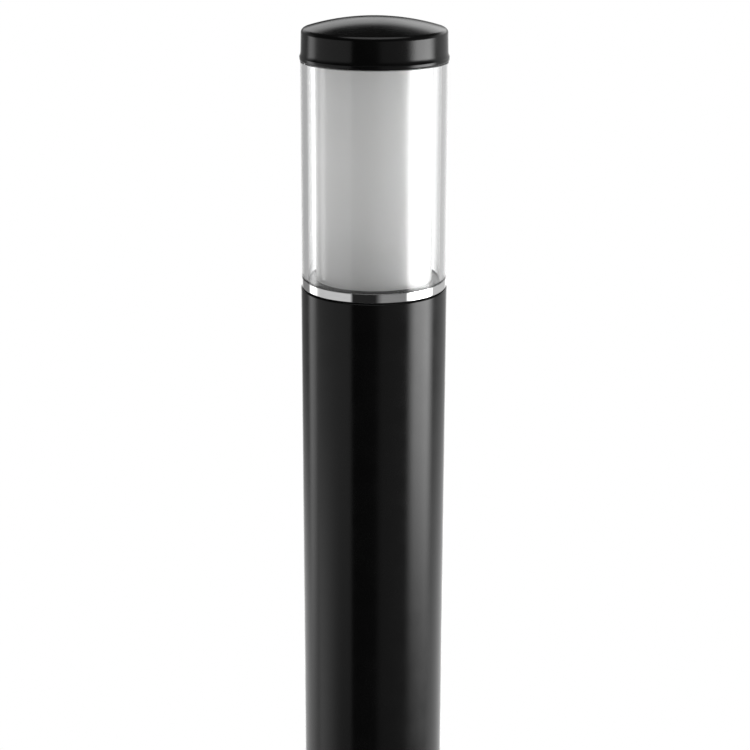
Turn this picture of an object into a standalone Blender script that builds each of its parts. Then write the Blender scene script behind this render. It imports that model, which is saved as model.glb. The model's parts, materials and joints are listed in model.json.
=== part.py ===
"""Bollard light: a round post on a base flange, and a lift-out head with a clear tube, an opal
diffuser over an LED column, a polished trim ring and a domed screw-on cap.

Units are metres, +Z is up, the origin is the centre of the base flange's underside and the front
faces -Y. Every piece is one object. The empties named body_* hold the pieces that move together.
"""

import math

import bmesh
import bpy
from mathutils import Matrix, Vector

# ---- Driving dimensions -------------------------------------------------------------------------

TOTAL_HEIGHT = 1.000
HEAD_HEIGHT = 0.2036  # dome apex above the post's rim
RIM_Z = TOTAL_HEIGHT - HEAD_HEIGHT
GAP = 0.0003  # between pieces that touch
FIT = 0.0004  # radial, between pieces that slide

POST_RADIUS = 0.0555
POST_BORE = 0.0515
RIM_CHAMFER = 0.0008

FLANGE_RADIUS = 0.090
FLANGE_THICKNESS = 0.008
FLANGE_HOLE_CIRCLE = 0.150
FLANGE_HOLE_RADIUS = 0.0055
FLANGE_HOLES = 4
CABLE_HOLE_RADIUS = 0.030
SPIGOT_RADIUS = POST_BORE - FIT
SPIGOT_BORE = 0.0465
SPIGOT_CHAMFER = 0.002
FLANGE_CHAMFER = 0.001
BASE_SPIGOT_TOP = 0.078
HEAD_SPIGOT_BOTTOM = -0.040  # from the post's rim

TUBE_RADIUS = 0.055
TUBE_BORE = 0.050
TUBE_REBATE = 0.0533
RING_RADIUS = 0.0547
RING_BORE = 0.0537
RIM_GASKET_RADIUS = 0.0542
DECK_RADIUS = 0.0497
OPAL_RADIUS = 0.044
OPAL_BORE = 0.041

# Heights inside the head, above the post's rim
SHOULDER = 0.00105
LEDGE_TOP = 0.0035
DECK_BOTTOM = 0.0024
DECK_TOP = 0.0074
RING_TOP = 0.0076
TUBE_BOTTOM = 0.0056
TUBE_TOP = 0.1745
OPAL_TOP = 0.1760
CAP_BOTTOM = 0.1720
LIP_TOP = 0.1755
BODY_BOTTOM = 0.1795
BODY_TOP = 0.19227

CAP_LIP_RADIUS = 0.0555
CAP_LIP_FILLET = 0.0016
CAP_BODY_RADIUS = 0.05465
CAP_SHOULDER_RADIUS = 0.0543
CAP_SHOULDER_FILLET = 0.00368
DOME_EDGE_ANGLE = math.radians(17.16)
CAP_CAVITY_RADIUS = 0.0504
CAP_CEILING = 0.1935
CEILING_SLOPE = 0.0055
CEILING_CHAMFER = 0.0045
CAP_BOSS_RADIUS = 0.009
CAP_BOSS_BOTTOM = 0.178
CAP_BOSS_BORE_TOP = 0.190
CAP_GASKET_THICKNESS = 0.0015

ROD_RADIUS = 0.004
ROD_BOTTOM = -0.009
ROD_TOP = 0.186
NUT_APOTHEM = 0.0065
NUT_HEIGHT = 0.0065
ROD_CHAMFER = 0.001
WASHER_RADIUS = 0.008
WASHER_THICKNESS = 0.0016

LOCATOR_THICKNESS = 0.005
COLUMN_APOTHEM = 0.020
COLUMN_BORE = 0.016
COLUMN_TOP = 0.163
COLUMN_CAP_THICKNESS = 0.004
BOARDS = 4
BOARD_WIDTH = 0.024
BOARD_BOTTOM = 0.016
BOARD_TOP = 0.160
BOARD_THICKNESS = 0.0016
BOARD_SCREW_INSET = 0.005
BOARD_SCREW_LENGTH = 0.0045
LED_COUNT = 9
LED_WIDTH = 0.0035
LED_HEIGHT = 0.0009
FIRST_LED = 0.030
LED_PITCH = 0.0145

TRAY_Y = 0.020
TRAY_THICKNESS = 0.002
TRAY_WIDTH = 0.070
TRAY_TAB_TOP = -0.0143
TRAY_TAB_FRONT = -0.006
TRAY_BOTTOM = -0.329
TAB_SCREW = (0.024, 0.005)
TAB_BOSS_RADIUS = 0.006
DRIVER = (0.043, 0.030, 0.150)
DRIVER_TOP = -0.060
EAR_LENGTH = 0.010
EAR_THICKNESS = 0.004
DRIVER_CHAMFER = 0.003
DRIVER_SCREW_LENGTH = 0.0075
DRIVER_SCREW_X = 0.013
TERMINAL = (0.050, 0.018, 0.022)
TERMINAL_TOP = -0.238
POLES = 5
WELL_RADIUS = 0.0025
WELL_DEPTH = 0.006
WELL_DROPS = (0.006, 0.016)  # below the block's top
TERMINAL_SCREW_INSET = 0.0028
TERMINAL_SCREW_REACH = 0.0035  # beyond the block's back
TERMINAL_HEAD_RADIUS = 0.0024
CLAMP_Z = -0.305
CLAMP_HEIGHT = 0.010
CLAMP_SCREW_X = 0.016
CLAMP_EAR_REACH = 0.006  # beyond each screw
CLAMP_EAR_THICKNESS = 0.0025
CLAMP_BORE = 0.0060
CLAMP_CROWN = 0.0085
EARTH = (-0.029, -0.285)
EARTH_WASHER_RADIUS = 0.0045
EARTH_WASHER_THICKNESS = 0.0008
SHORT_SCREW_LENGTH = 0.007
TRAY_SCREW_LENGTH = 0.010

LEAD_Y = 0.0128  # hole for the LED lead, behind the rod
LED_LEAD_RADIUS = 0.0020
CORE_RADIUS = 0.0013
GROMMET_BORE = LED_LEAD_RADIUS + GAP
GROMMET_HOLE = 0.0032
GROMMET_FLANGE = 0.0042
GROMMET_FLANGE_THICKNESS = 0.0016 - GAP
LOCATOR_LEAD_HOLE = 0.0046
LEAD_TOP = 0.026
CONNECTOR = (0.010, 0.006, 0.0117)
CONNECTOR_FRONT = 0.004  # from the lead's centre line
LED_LEAD_RISE = (0.010, 0.022, 0.034, 0.046)  # turns of its route, above the driver
CORE_DROP = (0.007, 0.014, 0.021)  # turns of their routes, below the driver

BASE_SCREW_Z = 0.043
BASE_SCREW_AZIMUTHS = (90, 210, 330)
HEAD_SCREW_DROP = 0.025
HEAD_SCREW_AZIMUTHS = (60, 120)
SET_SCREW_RADIUS = 0.003
SET_SCREW_LENGTH = 0.0037
M4_RADIUS = 0.002
M4_HEAD_RADIUS = 0.004
M4_HEAD_HEIGHT = 0.0026
M3_RADIUS = 0.0015
M3_HEAD_RADIUS = 0.0028
M3_HEAD_HEIGHT = 0.0018

OVERSHOOT = 0.002  # by which a cutter passes the face it starts or ends on
BOSS_OVERLAP = 0.001  # by which the tab's bosses reach into the deck
BOSS_DEPTH = 0.010  # of the screw holes in them

LARGE = 48  # sides of round pieces, by size
BOSS_SIDES = 16
MEDIUM = 20
SMALL = 12
TINY = 8
SHARP = math.radians(35)

# ---- Materials ----------------------------------------------------------------------------------


def material(name, colour, roughness, metallic=0.0, alpha=1.0):
    """Principled material; colour is linear RGB."""
    made = bpy.data.materials.new(name)
    made.use_nodes = True
    shader = made.node_tree.nodes["Principled BSDF"]
    shader.inputs["Base Color"].default_value = (*colour, 1.0)
    shader.inputs["Roughness"].default_value = roughness
    shader.inputs["Metallic"].default_value = metallic
    shader.inputs["Alpha"].default_value = alpha
    made.diffuse_color = (*colour, alpha)
    return made


def make_materials():
    return {
        "black_coat": material("black_coat", (0.012, 0.012, 0.012), 0.35),
        "clear": material("clear_acrylic", (0.95, 0.96, 0.96), 0.02, alpha=0.25),
        "opal": material("opal_acrylic", (0.85, 0.85, 0.84), 0.25),
        "polished": material("polished_steel", (0.80, 0.80, 0.81), 0.04, metallic=1.0),
        "aluminium": material("bare_aluminium", (0.62, 0.63, 0.65), 0.35, metallic=1.0),
        "zinc": material("zinc_steel", (0.55, 0.56, 0.57), 0.4, metallic=1.0),
        "rubber": material("black_rubber", (0.02, 0.02, 0.02), 0.7),
        "board": material("white_board", (0.82, 0.82, 0.80), 0.4),
        "white_plastic": material("white_plastic", (0.78, 0.78, 0.76), 0.45),
        "grey_plastic": material("grey_plastic", (0.30, 0.31, 0.32), 0.5),
        "brown": material("brown_insulation", (0.16, 0.06, 0.03), 0.45),
        "blue": material("blue_insulation", (0.03, 0.12, 0.45), 0.45),
        "jacket": material("grey_jacket", (0.42, 0.42, 0.41), 0.5),
    }


# ---- Modelling tools ----------------------------------------------------------------------------


def clear_scene():
    for old in list(bpy.data.objects):
        bpy.data.objects.remove(old, do_unlink=True)


def place(name, data=None, mat=None, location=(0, 0, 0), rotation=(0, 0, 0), parent=None):
    """Adds one object, at a place measured from its parent's origin."""
    made = bpy.data.objects.new(name, data)
    made.location = location
    made.rotation_euler = rotation
    made.parent = parent
    if mat and not data.materials:
        data.materials.append(mat)
    bpy.context.scene.collection.objects.link(made)
    return made


def finished(bm, name, smooth=True):
    """Turns a bmesh into a mesh with outward faces."""
    bmesh.ops.recalc_face_normals(bm, faces=bm.faces)
    mesh = bpy.data.meshes.new(name)
    bm.to_mesh(mesh)
    bm.free()
    if smooth:
        mesh.shade_smooth()
        mesh.set_sharp_from_angle(angle=SHARP)
    return mesh


def arc(centre, radius, start, end, steps):
    """Points on an arc in the profile plane, with angles in degrees from +r towards +z."""
    angles = [math.radians(start + (end - start) * i / steps) for i in range(steps + 1)]
    return [(centre[0] + radius * math.cos(a), centre[1] + radius * math.sin(a)) for a in angles]


def turned(name, profile, segments, smooth=True):
    """Spins an (r, z) profile about Z. A profile that ends on the axis is closed by it."""
    bm = bmesh.new()
    verts = [bm.verts.new((r, 0, z)) for r, z in profile]
    edges = [bm.edges.new(pair) for pair in zip(verts, verts[1:])]
    if profile[0][0] > 0 or profile[-1][0] > 0:
        edges.append(bm.edges.new((verts[-1], verts[0])))
    bmesh.ops.spin(
        bm, geom=verts + edges, axis=(0, 0, 1), angle=math.tau, steps=segments, use_merge=True
    )
    bmesh.ops.remove_doubles(bm, verts=bm.verts, dist=1e-6)
    return finished(bm, name, smooth)


def washer(name, inner, outer, bottom, top, segments):
    """Ring of rectangular section."""
    return turned(name, [(inner, bottom), (outer, bottom), (outer, top), (inner, top)], segments)


def rod(name, radius, length, segments=SMALL, chamfer=0.0):
    """Solid cylinder from z = 0, with its upper edge chamfered."""
    rim = [(radius, length)]
    if chamfer:
        rim = [(radius, length - chamfer), (radius - chamfer, length)]
    return turned(name, [(0, 0), (radius, 0), *rim, (0, length)], segments)


def prism(name, outline, height):
    """Extrudes a closed (x, y) outline up from z = 0."""
    bm = bmesh.new()
    face = bm.faces.new([bm.verts.new((x, y, 0)) for x, y in outline])
    grown = bmesh.ops.extrude_face_region(bm, geom=[face])
    raised = [v for v in grown["geom"] if isinstance(v, bmesh.types.BMVert)]
    bmesh.ops.translate(bm, verts=raised, vec=(0, 0, height))
    return finished(bm, name, smooth=False)


def box(name, low, high):
    """Box between two corners."""
    bm = bmesh.new()
    made = bmesh.ops.create_cube(bm, size=1.0)
    bmesh.ops.scale(bm, vec=Vector(high) - Vector(low), verts=made["verts"])
    bmesh.ops.translate(bm, vec=(Vector(low) + Vector(high)) / 2, verts=made["verts"])
    return finished(bm, name, smooth=False)


def regular(sides, apothem):
    """Corners of a regular polygon with one flat facing +X."""
    corner = apothem / math.cos(math.pi / sides)
    angles = [math.pi / sides * (2 * i - 1) for i in range(sides)]
    return [(corner * math.cos(a), corner * math.sin(a)) for a in angles]


def boolean(target, tools, operation="DIFFERENCE"):
    """Applies hidden tool objects to a target."""
    for tool in tools:
        tool.hide_render = True
        tool.display_type = "WIRE"
        step = target.modifiers.new(tool.name, "BOOLEAN")
        step.operation = operation
        step.object = tool
    return target


def drill(target, radius, start, direction, length, segments=SMALL):
    """Cuts a round hole that starts at a point of the target's parent and runs along direction."""
    turn = Vector((0, 0, 1)).rotation_difference(Vector(direction)).to_euler()
    name = f"cut_{target.name}_{len(target.modifiers)}"
    mesh = turned(name, [(0, 0), (radius, 0), (radius, length), (0, length)], segments)
    tool = place(name, mesh, location=start, rotation=turn, parent=target.parent)
    return boolean(target, [tool])


def hex_nut(name, apothem, height, bore):
    """Hexagonal nut with a round hole, from z = 0."""
    bm = bmesh.new()
    rings = []
    for z in (0, height):
        outer = [bm.verts.new((x, y, z)) for x, y in regular(6, apothem)]
        turn = [math.tau * i / 12 - math.pi / 6 for i in range(12)]
        inner = [bm.verts.new((bore * math.cos(a), bore * math.sin(a), z)) for a in turn]
        rings.append((outer, inner))
    for outer, inner in rings:
        for i in range(6):
            corner, following = outer[i], outer[(i + 1) % 6]
            a, b, c = (inner[(2 * i + k) % 12] for k in range(3))
            bm.faces.new((corner, following, c, b, a))
    (low_out, low_in), (high_out, high_in) = rings
    for low, high in ((low_out, high_out), (low_in, high_in)):
        count = len(low)
        for i in range(count):
            bm.faces.new((low[i], low[(i + 1) % count], high[(i + 1) % count], high[i]))
    return finished(bm, name, smooth=False)


def pan_screw(name, radius, length, head_radius, head_height):
    """Pan-head screw: the head stands on z = 0 and its shank points down."""
    profile = [
        (0, -length),
        (radius, -length),
        (radius, 0),
        (head_radius, 0),
        (head_radius, head_height * 0.5),
        (head_radius * 0.7, head_height),
        (0, head_height),
    ]
    return turned(name, profile, TINY)


def set_screw(name):
    """Hexagon-socket set screw, its open end at z = 0 and its body pointing down."""
    bm = bmesh.new()
    sides = SMALL
    socket = SET_SCREW_RADIUS * 0.55
    levels = (
        (SET_SCREW_RADIUS, -SET_SCREW_LENGTH),
        (SET_SCREW_RADIUS, 0),
        (socket, 0),
        (socket, -SET_SCREW_LENGTH * 0.6),
    )
    rings = []
    for radius, z in levels:
        turn = [math.tau * i / sides for i in range(sides)]
        rings.append([bm.verts.new((radius * math.cos(a), radius * math.sin(a), z)) for a in turn])
    for low, high in zip(rings, rings[1:]):
        for i in range(sides):
            bm.faces.new((low[i], low[(i + 1) % sides], high[(i + 1) % sides], high[i]))
    bm.faces.new(rings[0])
    bm.faces.new(rings[-1])
    return finished(bm, name, smooth=False)


def lead(name, points, radius, mat, parent):
    """Insulated lead: a smooth curve through a few points of its route, with round ends closed."""
    curve = bpy.data.curves.new(name, "CURVE")
    curve.dimensions = "3D"
    curve.bevel_depth = radius
    curve.bevel_resolution = 2
    curve.use_fill_caps = True
    spline = curve.splines.new("POLY")
    route = smooth_route([Vector(p) for p in points], radius * 4)
    spline.points.add(len(route) - 1)
    for target, point in zip(spline.points, route):
        target.co = (*point, 1.0)
    return place(name, curve, mat, parent=parent)


def smooth_route(points, step):
    """Points along a Catmull-Rom curve through the given ones."""
    ends = [2 * points[0] - points[1], *points, 2 * points[-1] - points[-2]]
    route = []
    for before, start, end, after in zip(ends, ends[1:], ends[2:], ends[3:]):
        pieces = max(2, round((end - start).length / step))
        for i in range(pieces):
            t = i / pieces
            route.append(
                0.5
                * (
                    2 * start
                    + (end - before) * t
                    + (2 * before - 5 * start + 4 * end - after) * t**2
                    + (3 * start - before - 3 * end + after) * t**3
                )
            )
    return [*route, points[-1]]


def outward(azimuth, radius, z):
    """Point on a circle about the axis, and the direction that leaves it there."""
    a = math.radians(azimuth)
    direction = Vector((math.cos(a), math.sin(a), 0))
    return direction * radius + Vector((0, 0, z)), direction


# ---- Post ---------------------------------------------------------------------------------------


def build_post(mats, body):
    build_base_flange(mats, body)
    profile = [
        (POST_BORE, FLANGE_THICKNESS + GAP),
        (POST_RADIUS, FLANGE_THICKNESS + GAP),
        (POST_RADIUS, RIM_Z - RIM_CHAMFER),
        (POST_RADIUS - RIM_CHAMFER, RIM_Z),
        (POST_BORE, RIM_Z),
    ]
    tube = place("post_tube", turned("post_tube", profile, LARGE), mats["black_coat"], parent=body)
    screws = [("base_set_screw", BASE_SCREW_AZIMUTHS, BASE_SCREW_Z)]
    screws += [("head_set_screw", HEAD_SCREW_AZIMUTHS, RIM_Z - HEAD_SCREW_DROP)]
    mesh = set_screw("set_screw")
    for name, azimuths, z in screws:
        for number, azimuth in enumerate(azimuths, 1):
            inside, direction = outward(azimuth, POST_BORE - OVERSHOOT, z)
            depth = POST_RADIUS - POST_BORE + 2 * OVERSHOOT
            drill(tube, SET_SCREW_RADIUS + GAP, inside, direction, depth)
            seat, _ = outward(azimuth, POST_BORE + SET_SCREW_LENGTH, z)
            turn = Vector((0, 0, 1)).rotation_difference(direction).to_euler()
            place(f"{name}_{number}", mesh, mats["zinc"], seat, turn, body)


def build_base_flange(mats, body):
    plate_top = FLANGE_THICKNESS
    profile = [
        (CABLE_HOLE_RADIUS, 0),
        (FLANGE_RADIUS, 0),
        (FLANGE_RADIUS, plate_top - FLANGE_CHAMFER),
        (FLANGE_RADIUS - FLANGE_CHAMFER, plate_top),
        (SPIGOT_RADIUS, plate_top),
        (SPIGOT_RADIUS, BASE_SPIGOT_TOP - SPIGOT_CHAMFER),
        (SPIGOT_RADIUS - SPIGOT_CHAMFER, BASE_SPIGOT_TOP),
        (SPIGOT_BORE, BASE_SPIGOT_TOP),
        (SPIGOT_BORE, plate_top),
        (CABLE_HOLE_RADIUS, plate_top),
    ]
    flange = place(
        "base_flange", turned("base_flange", profile, LARGE), mats["black_coat"], parent=body
    )
    for i in range(FLANGE_HOLES):
        azimuth = 45 + 360 * i / FLANGE_HOLES
        start, _ = outward(azimuth, FLANGE_HOLE_CIRCLE / 2, -OVERSHOOT)
        drill(flange, FLANGE_HOLE_RADIUS, start, (0, 0, 1), FLANGE_THICKNESS + 2 * OVERSHOOT)


# ---- Head: everything below measures its heights from the post's rim ----------------------------


def build_head(mats, body):
    build_head_base(mats, body)
    inner = POST_BORE + GAP
    gasket = washer("rim_gasket", inner, RIM_GASKET_RADIUS, GAP, SHOULDER - GAP, LARGE)
    place("rim_gasket", gasket, mats["rubber"], parent=body)
    ring = washer("trim_ring", RING_BORE, RING_RADIUS, SHOULDER, RING_TOP, LARGE)
    place("trim_ring", ring, mats["polished"], parent=body)
    low = LEDGE_TOP + GAP
    seat = washer("tube_gasket", TUBE_BORE, TUBE_REBATE, low, TUBE_BOTTOM - GAP, LARGE)
    place("tube_gasket", seat, mats["rubber"], parent=body)
    build_rod(mats, body)
    build_led_column(mats, body)
    build_gear(mats, body)


def build_head_base(mats, body):
    """Die casting: a spigot in the post, a ledge for the clear tube and a deck for the lamp."""
    profile = [
        (ROD_RADIUS + FIT, DECK_BOTTOM),
        (SPIGOT_BORE, DECK_BOTTOM),
        (SPIGOT_BORE, HEAD_SPIGOT_BOTTOM),
        (SPIGOT_RADIUS - SPIGOT_CHAMFER, HEAD_SPIGOT_BOTTOM),
        (SPIGOT_RADIUS, HEAD_SPIGOT_BOTTOM + SPIGOT_CHAMFER),
        (SPIGOT_RADIUS, SHOULDER),
        (RING_BORE - GAP, SHOULDER),
        (RING_BORE - GAP, LEDGE_TOP),
        (DECK_RADIUS, LEDGE_TOP),
        (DECK_RADIUS, DECK_TOP),
        (ROD_RADIUS + FIT, DECK_TOP),
    ]
    name = "head_base"
    casting = place(name, turned(name, profile, LARGE), mats["black_coat"], parent=body)
    boss_bottom = TRAY_TAB_TOP + GAP
    height = DECK_BOTTOM + BOSS_OVERLAP - boss_bottom
    boss = rod("boss", TAB_BOSS_RADIUS, height, BOSS_SIDES)
    for side in (-1, 1):
        foot = (side * TAB_SCREW[0], TAB_SCREW[1], boss_bottom)
        boolean(casting, [place(f"add_boss_{side}", boss, location=foot, parent=body)], "UNION")
    for side in (-1, 1):
        start = (side * TAB_SCREW[0], TAB_SCREW[1], TRAY_TAB_TOP - OVERSHOOT)
        drill(casting, M4_RADIUS + GAP, start, (0, 0, 1), BOSS_DEPTH + OVERSHOOT)
    start = (0, LEAD_Y, DECK_BOTTOM - OVERSHOOT)
    drill(casting, GROMMET_HOLE, start, (0, 0, 1), DECK_TOP - DECK_BOTTOM + 2 * OVERSHOOT)


def build_rod(mats, body):
    """Tie rod that clamps the LED column to the deck and carries the cap's thread."""
    shank = rod("tie_rod", ROD_RADIUS, ROD_TOP - ROD_BOTTOM, SMALL, chamfer=ROD_CHAMFER)
    place("tie_rod", shank, mats["zinc"], (0, 0, ROD_BOTTOM), parent=body)
    nut = hex_nut("nut", NUT_APOTHEM, NUT_HEIGHT, ROD_RADIUS + GAP)
    plain = washer("washer", ROD_RADIUS + GAP, WASHER_RADIUS, 0, WASHER_THICKNESS, MEDIUM)
    below = DECK_BOTTOM - GAP - WASHER_THICKNESS
    above = column_cap_top() + GAP
    place("rod_washer", plain, mats["zinc"], (0, 0, below), parent=body)
    place("rod_nut", nut, mats["zinc"], (0, 0, below - GAP - NUT_HEIGHT), parent=body)
    place("column_washer", plain, mats["zinc"], (0, 0, above), parent=body)
    top = above + WASHER_THICKNESS + GAP
    place("column_nut", nut, mats["zinc"], (0, 0, top), parent=body)


def column_bottom():
    return DECK_TOP + GAP + LOCATOR_THICKNESS + GAP


def column_cap_top():
    return COLUMN_TOP + GAP + COLUMN_CAP_THICKNESS


def build_led_column(mats, body):
    rod_hole = ROD_RADIUS + FIT
    rim = OPAL_BORE - FIT
    mesh = washer("diffuser_locator", rod_hole, rim, 0, LOCATOR_THICKNESS, LARGE)
    seat = (0, 0, DECK_TOP + GAP)
    locator = place("diffuser_locator", mesh, mats["white_plastic"], seat, parent=body)
    start = (0, LEAD_Y, DECK_TOP - OVERSHOOT)
    drill(locator, LOCATOR_LEAD_HOLE, start, (0, 0, 1), LOCATOR_THICKNESS + 3 * OVERSHOOT)

    column = prism("led_column", regular(BOARDS, COLUMN_APOTHEM), COLUMN_TOP - column_bottom())
    column = place("led_column", column, mats["aluminium"], (0, 0, column_bottom()), parent=body)
    drill(column, COLUMN_BORE, (0, 0, DECK_TOP), (0, 0, 1), COLUMN_TOP, MEDIUM)

    top = washer("column_cap", rod_hole, rim, 0, COLUMN_CAP_THICKNESS, LARGE)
    place("column_cap", top, mats["white_plastic"], (0, 0, COLUMN_TOP + GAP), parent=body)

    board = led_board_mesh()
    screw = pan_screw("m3_screw", M3_RADIUS, BOARD_SCREW_LENGTH, M3_HEAD_RADIUS, M3_HEAD_HEIGHT)
    face = COLUMN_APOTHEM + GAP
    ends = {"a": BOARD_BOTTOM + BOARD_SCREW_INSET, "b": BOARD_TOP - BOARD_SCREW_INSET}
    hole_start = COLUMN_BORE - 2 * OVERSHOOT
    hole_end = face + BOARD_THICKNESS + OVERSHOOT
    for i in range(BOARDS):
        turn = math.tau * i / BOARDS
        made = place(
            f"led_board_{i + 1}", board, mats["board"], (0, 0, 0), (0, 0, turn), parent=body
        )
        spin = Matrix.Rotation(turn, 3, "Z")
        for label, z in ends.items():
            inside = spin @ Vector((hole_start, 0, z))
            direction = spin @ Vector((1, 0, 0))
            depth = hole_end - hole_start
            drill(column, M3_RADIUS + GAP, inside, direction, depth, TINY)
            drill(made, M3_RADIUS + GAP, inside, direction, depth, TINY)
            head = spin @ Vector((face + BOARD_THICKNESS + GAP, 0, z))
            rotation = Vector((0, 0, 1)).rotation_difference(direction).to_euler()
            name = f"board_screw_{i + 1}{label}"
            place(name, screw, mats["zinc"], head, rotation, body)

    build_lead_entry(mats, body)


def build_lead_entry(mats, body):
    """Grommet in the deck, and the connector that the LED lead ends at."""
    under = DECK_BOTTOM - GAP
    over = DECK_TOP + GAP
    profile = [
        (GROMMET_BORE, under - GROMMET_FLANGE_THICKNESS),
        (GROMMET_FLANGE, under - GROMMET_FLANGE_THICKNESS),
        (GROMMET_FLANGE, under),
        (GROMMET_HOLE - GAP, under),
        (GROMMET_HOLE - GAP, over),
        (GROMMET_FLANGE, over),
        (GROMMET_FLANGE, over + GROMMET_FLANGE_THICKNESS),
        (GROMMET_BORE, over + GROMMET_FLANGE_THICKNESS),
    ]
    mesh = turned("lead_grommet", profile, SMALL)
    place("lead_grommet", mesh, mats["rubber"], (0, LEAD_Y, 0), parent=body)
    width, depth, height = CONNECTOR
    low = Vector((-width / 2, LEAD_Y - CONNECTOR_FRONT, LEAD_TOP + GAP))
    mesh = box("led_connector", low, low + Vector((width, depth, height)))
    place("led_connector", mesh, mats["white_plastic"], parent=body)


def led_board_mesh():
    """Circuit board standing off the column's +X flat, with square LED packages on its face."""
    bm = bmesh.new()
    front = COLUMN_APOTHEM + GAP + BOARD_THICKNESS
    levels = [BOARD_BOTTOM]
    for i in range(LED_COUNT):
        middle = FIRST_LED + i * LED_PITCH
        levels += [middle - LED_WIDTH / 2, middle + LED_WIDTH / 2]
    levels += [BOARD_TOP]
    columns = (-BOARD_WIDTH / 2, -LED_WIDTH / 2, LED_WIDTH / 2, BOARD_WIDTH / 2)
    grid = [[bm.verts.new((front, y, z)) for y in columns] for z in levels]
    packages = []
    for row, (low, high) in enumerate(zip(grid, grid[1:])):
        for column in range(3):
            corners = (low[column], low[column + 1], high[column + 1], high[column])
            face = bm.faces.new(corners)
            if column == 1 and row % 2 == 1:
                packages.append(face)
    back = bmesh.ops.extrude_face_region(bm, geom=bm.faces[:])
    behind = [v for v in back["geom"] if isinstance(v, bmesh.types.BMVert)]
    bmesh.ops.translate(bm, verts=behind, vec=(-BOARD_THICKNESS, 0, 0))
    for face in bmesh.ops.extrude_discrete_faces(bm, faces=packages)["faces"]:
        bmesh.ops.translate(bm, verts=face.verts[:], vec=(LED_HEIGHT, 0, 0))
    return finished(bm, "led_board", smooth=False)


# ---- Control gear on the tray that hangs in the post --------------------------------------------


def build_gear(mats, body):
    tray = build_tray(mats, body)
    build_driver(mats, body, tray)
    build_terminal(mats, body, tray)
    build_clamp(mats, body, tray)
    build_earth(mats, body, tray)
    build_leads(mats, body)


def build_tray(mats, body):
    """Folded sheet: a plate with a tab at its top that two screws hold to the casting's bosses."""
    back = TRAY_Y + TRAY_THICKNESS
    under = TRAY_TAB_TOP - TRAY_THICKNESS
    side_view = [
        (TRAY_TAB_TOP, TRAY_TAB_FRONT),
        (TRAY_TAB_TOP, back),
        (TRAY_BOTTOM, back),
        (TRAY_BOTTOM, TRAY_Y),
        (under, TRAY_Y),
        (under, TRAY_TAB_FRONT),
    ]
    mesh = prism("gear_tray", side_view, TRAY_WIDTH)
    # The outline's own x runs up the post and its extrusion runs across it
    mesh.transform(Matrix(((0, 0, 1, -TRAY_WIDTH / 2), (0, 1, 0, 0), (1, 0, 0, 0), (0, 0, 0, 1))))
    mesh.flip_normals()
    tray = place("gear_tray", mesh, mats["zinc"], parent=body)
    screw = pan_screw("tray_screw", M4_RADIUS, TRAY_SCREW_LENGTH, M4_HEAD_RADIUS, M4_HEAD_HEIGHT)
    through = TRAY_THICKNESS + 2 * OVERSHOOT
    for number, side in enumerate((-1, 1), 1):
        x, y = side * TAB_SCREW[0], TAB_SCREW[1]
        drill(tray, M4_RADIUS + GAP, (x, y, under - OVERSHOOT), (0, 0, 1), through)
        seat = (x, y, under - GAP)
        place(f"tray_screw_{number}", screw, mats["zinc"], seat, (math.pi, 0, 0), body)
    drill(tray, LOCATOR_LEAD_HOLE, (0, LEAD_Y, under - OVERSHOOT), (0, 0, 1), through)
    return tray


def front_screw(name, x, z, seat_y, length, mats, body):
    """M4 screw that enters from the front, its head on a face at seat_y."""
    mesh = pan_screw(name, M4_RADIUS, length, M4_HEAD_RADIUS, M4_HEAD_HEIGHT)
    place(name, mesh, mats["zinc"], (x, seat_y - GAP, z), (math.pi / 2, 0, 0), body)


def tray_hole(tray, x, z, radius=M4_RADIUS + GAP):
    drill(tray, radius, (x, TRAY_Y - OVERSHOOT, z), (0, 1, 0), TRAY_THICKNESS + 2 * OVERSHOOT)


def build_driver(mats, body, tray):
    width, depth, height = DRIVER
    back = TRAY_Y - GAP
    top = DRIVER_TOP
    bottom = DRIVER_TOP - height
    side_view = [
        (bottom - EAR_LENGTH, back),
        (bottom - EAR_LENGTH, back - EAR_THICKNESS),
        (bottom, back - EAR_THICKNESS),
        (bottom, back - depth + DRIVER_CHAMFER),
        (bottom + DRIVER_CHAMFER, back - depth),
        (top - DRIVER_CHAMFER, back - depth),
        (top, back - depth + DRIVER_CHAMFER),
        (top, back - EAR_THICKNESS),
        (top + EAR_LENGTH, back - EAR_THICKNESS),
        (top + EAR_LENGTH, back),
    ]
    mesh = prism("led_driver", side_view, width)
    mesh.transform(Matrix(((0, 0, 1, -width / 2), (0, 1, 0, 0), (1, 0, 0, 0), (0, 0, 0, 1))))
    mesh.flip_normals()
    driver = place("led_driver", mesh, mats["white_plastic"], parent=body)
    ear = back - EAR_THICKNESS
    through = EAR_THICKNESS + 2 * OVERSHOOT
    for number, z in enumerate((top + EAR_LENGTH / 2, bottom - EAR_LENGTH / 2), 1):
        x = DRIVER_SCREW_X
        drill(driver, M4_RADIUS + GAP, (x, ear - OVERSHOOT, z), (0, 1, 0), through)
        tray_hole(tray, x, z)
        front_screw(f"driver_screw_{number}", x, z, ear, DRIVER_SCREW_LENGTH, mats, body)


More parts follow.
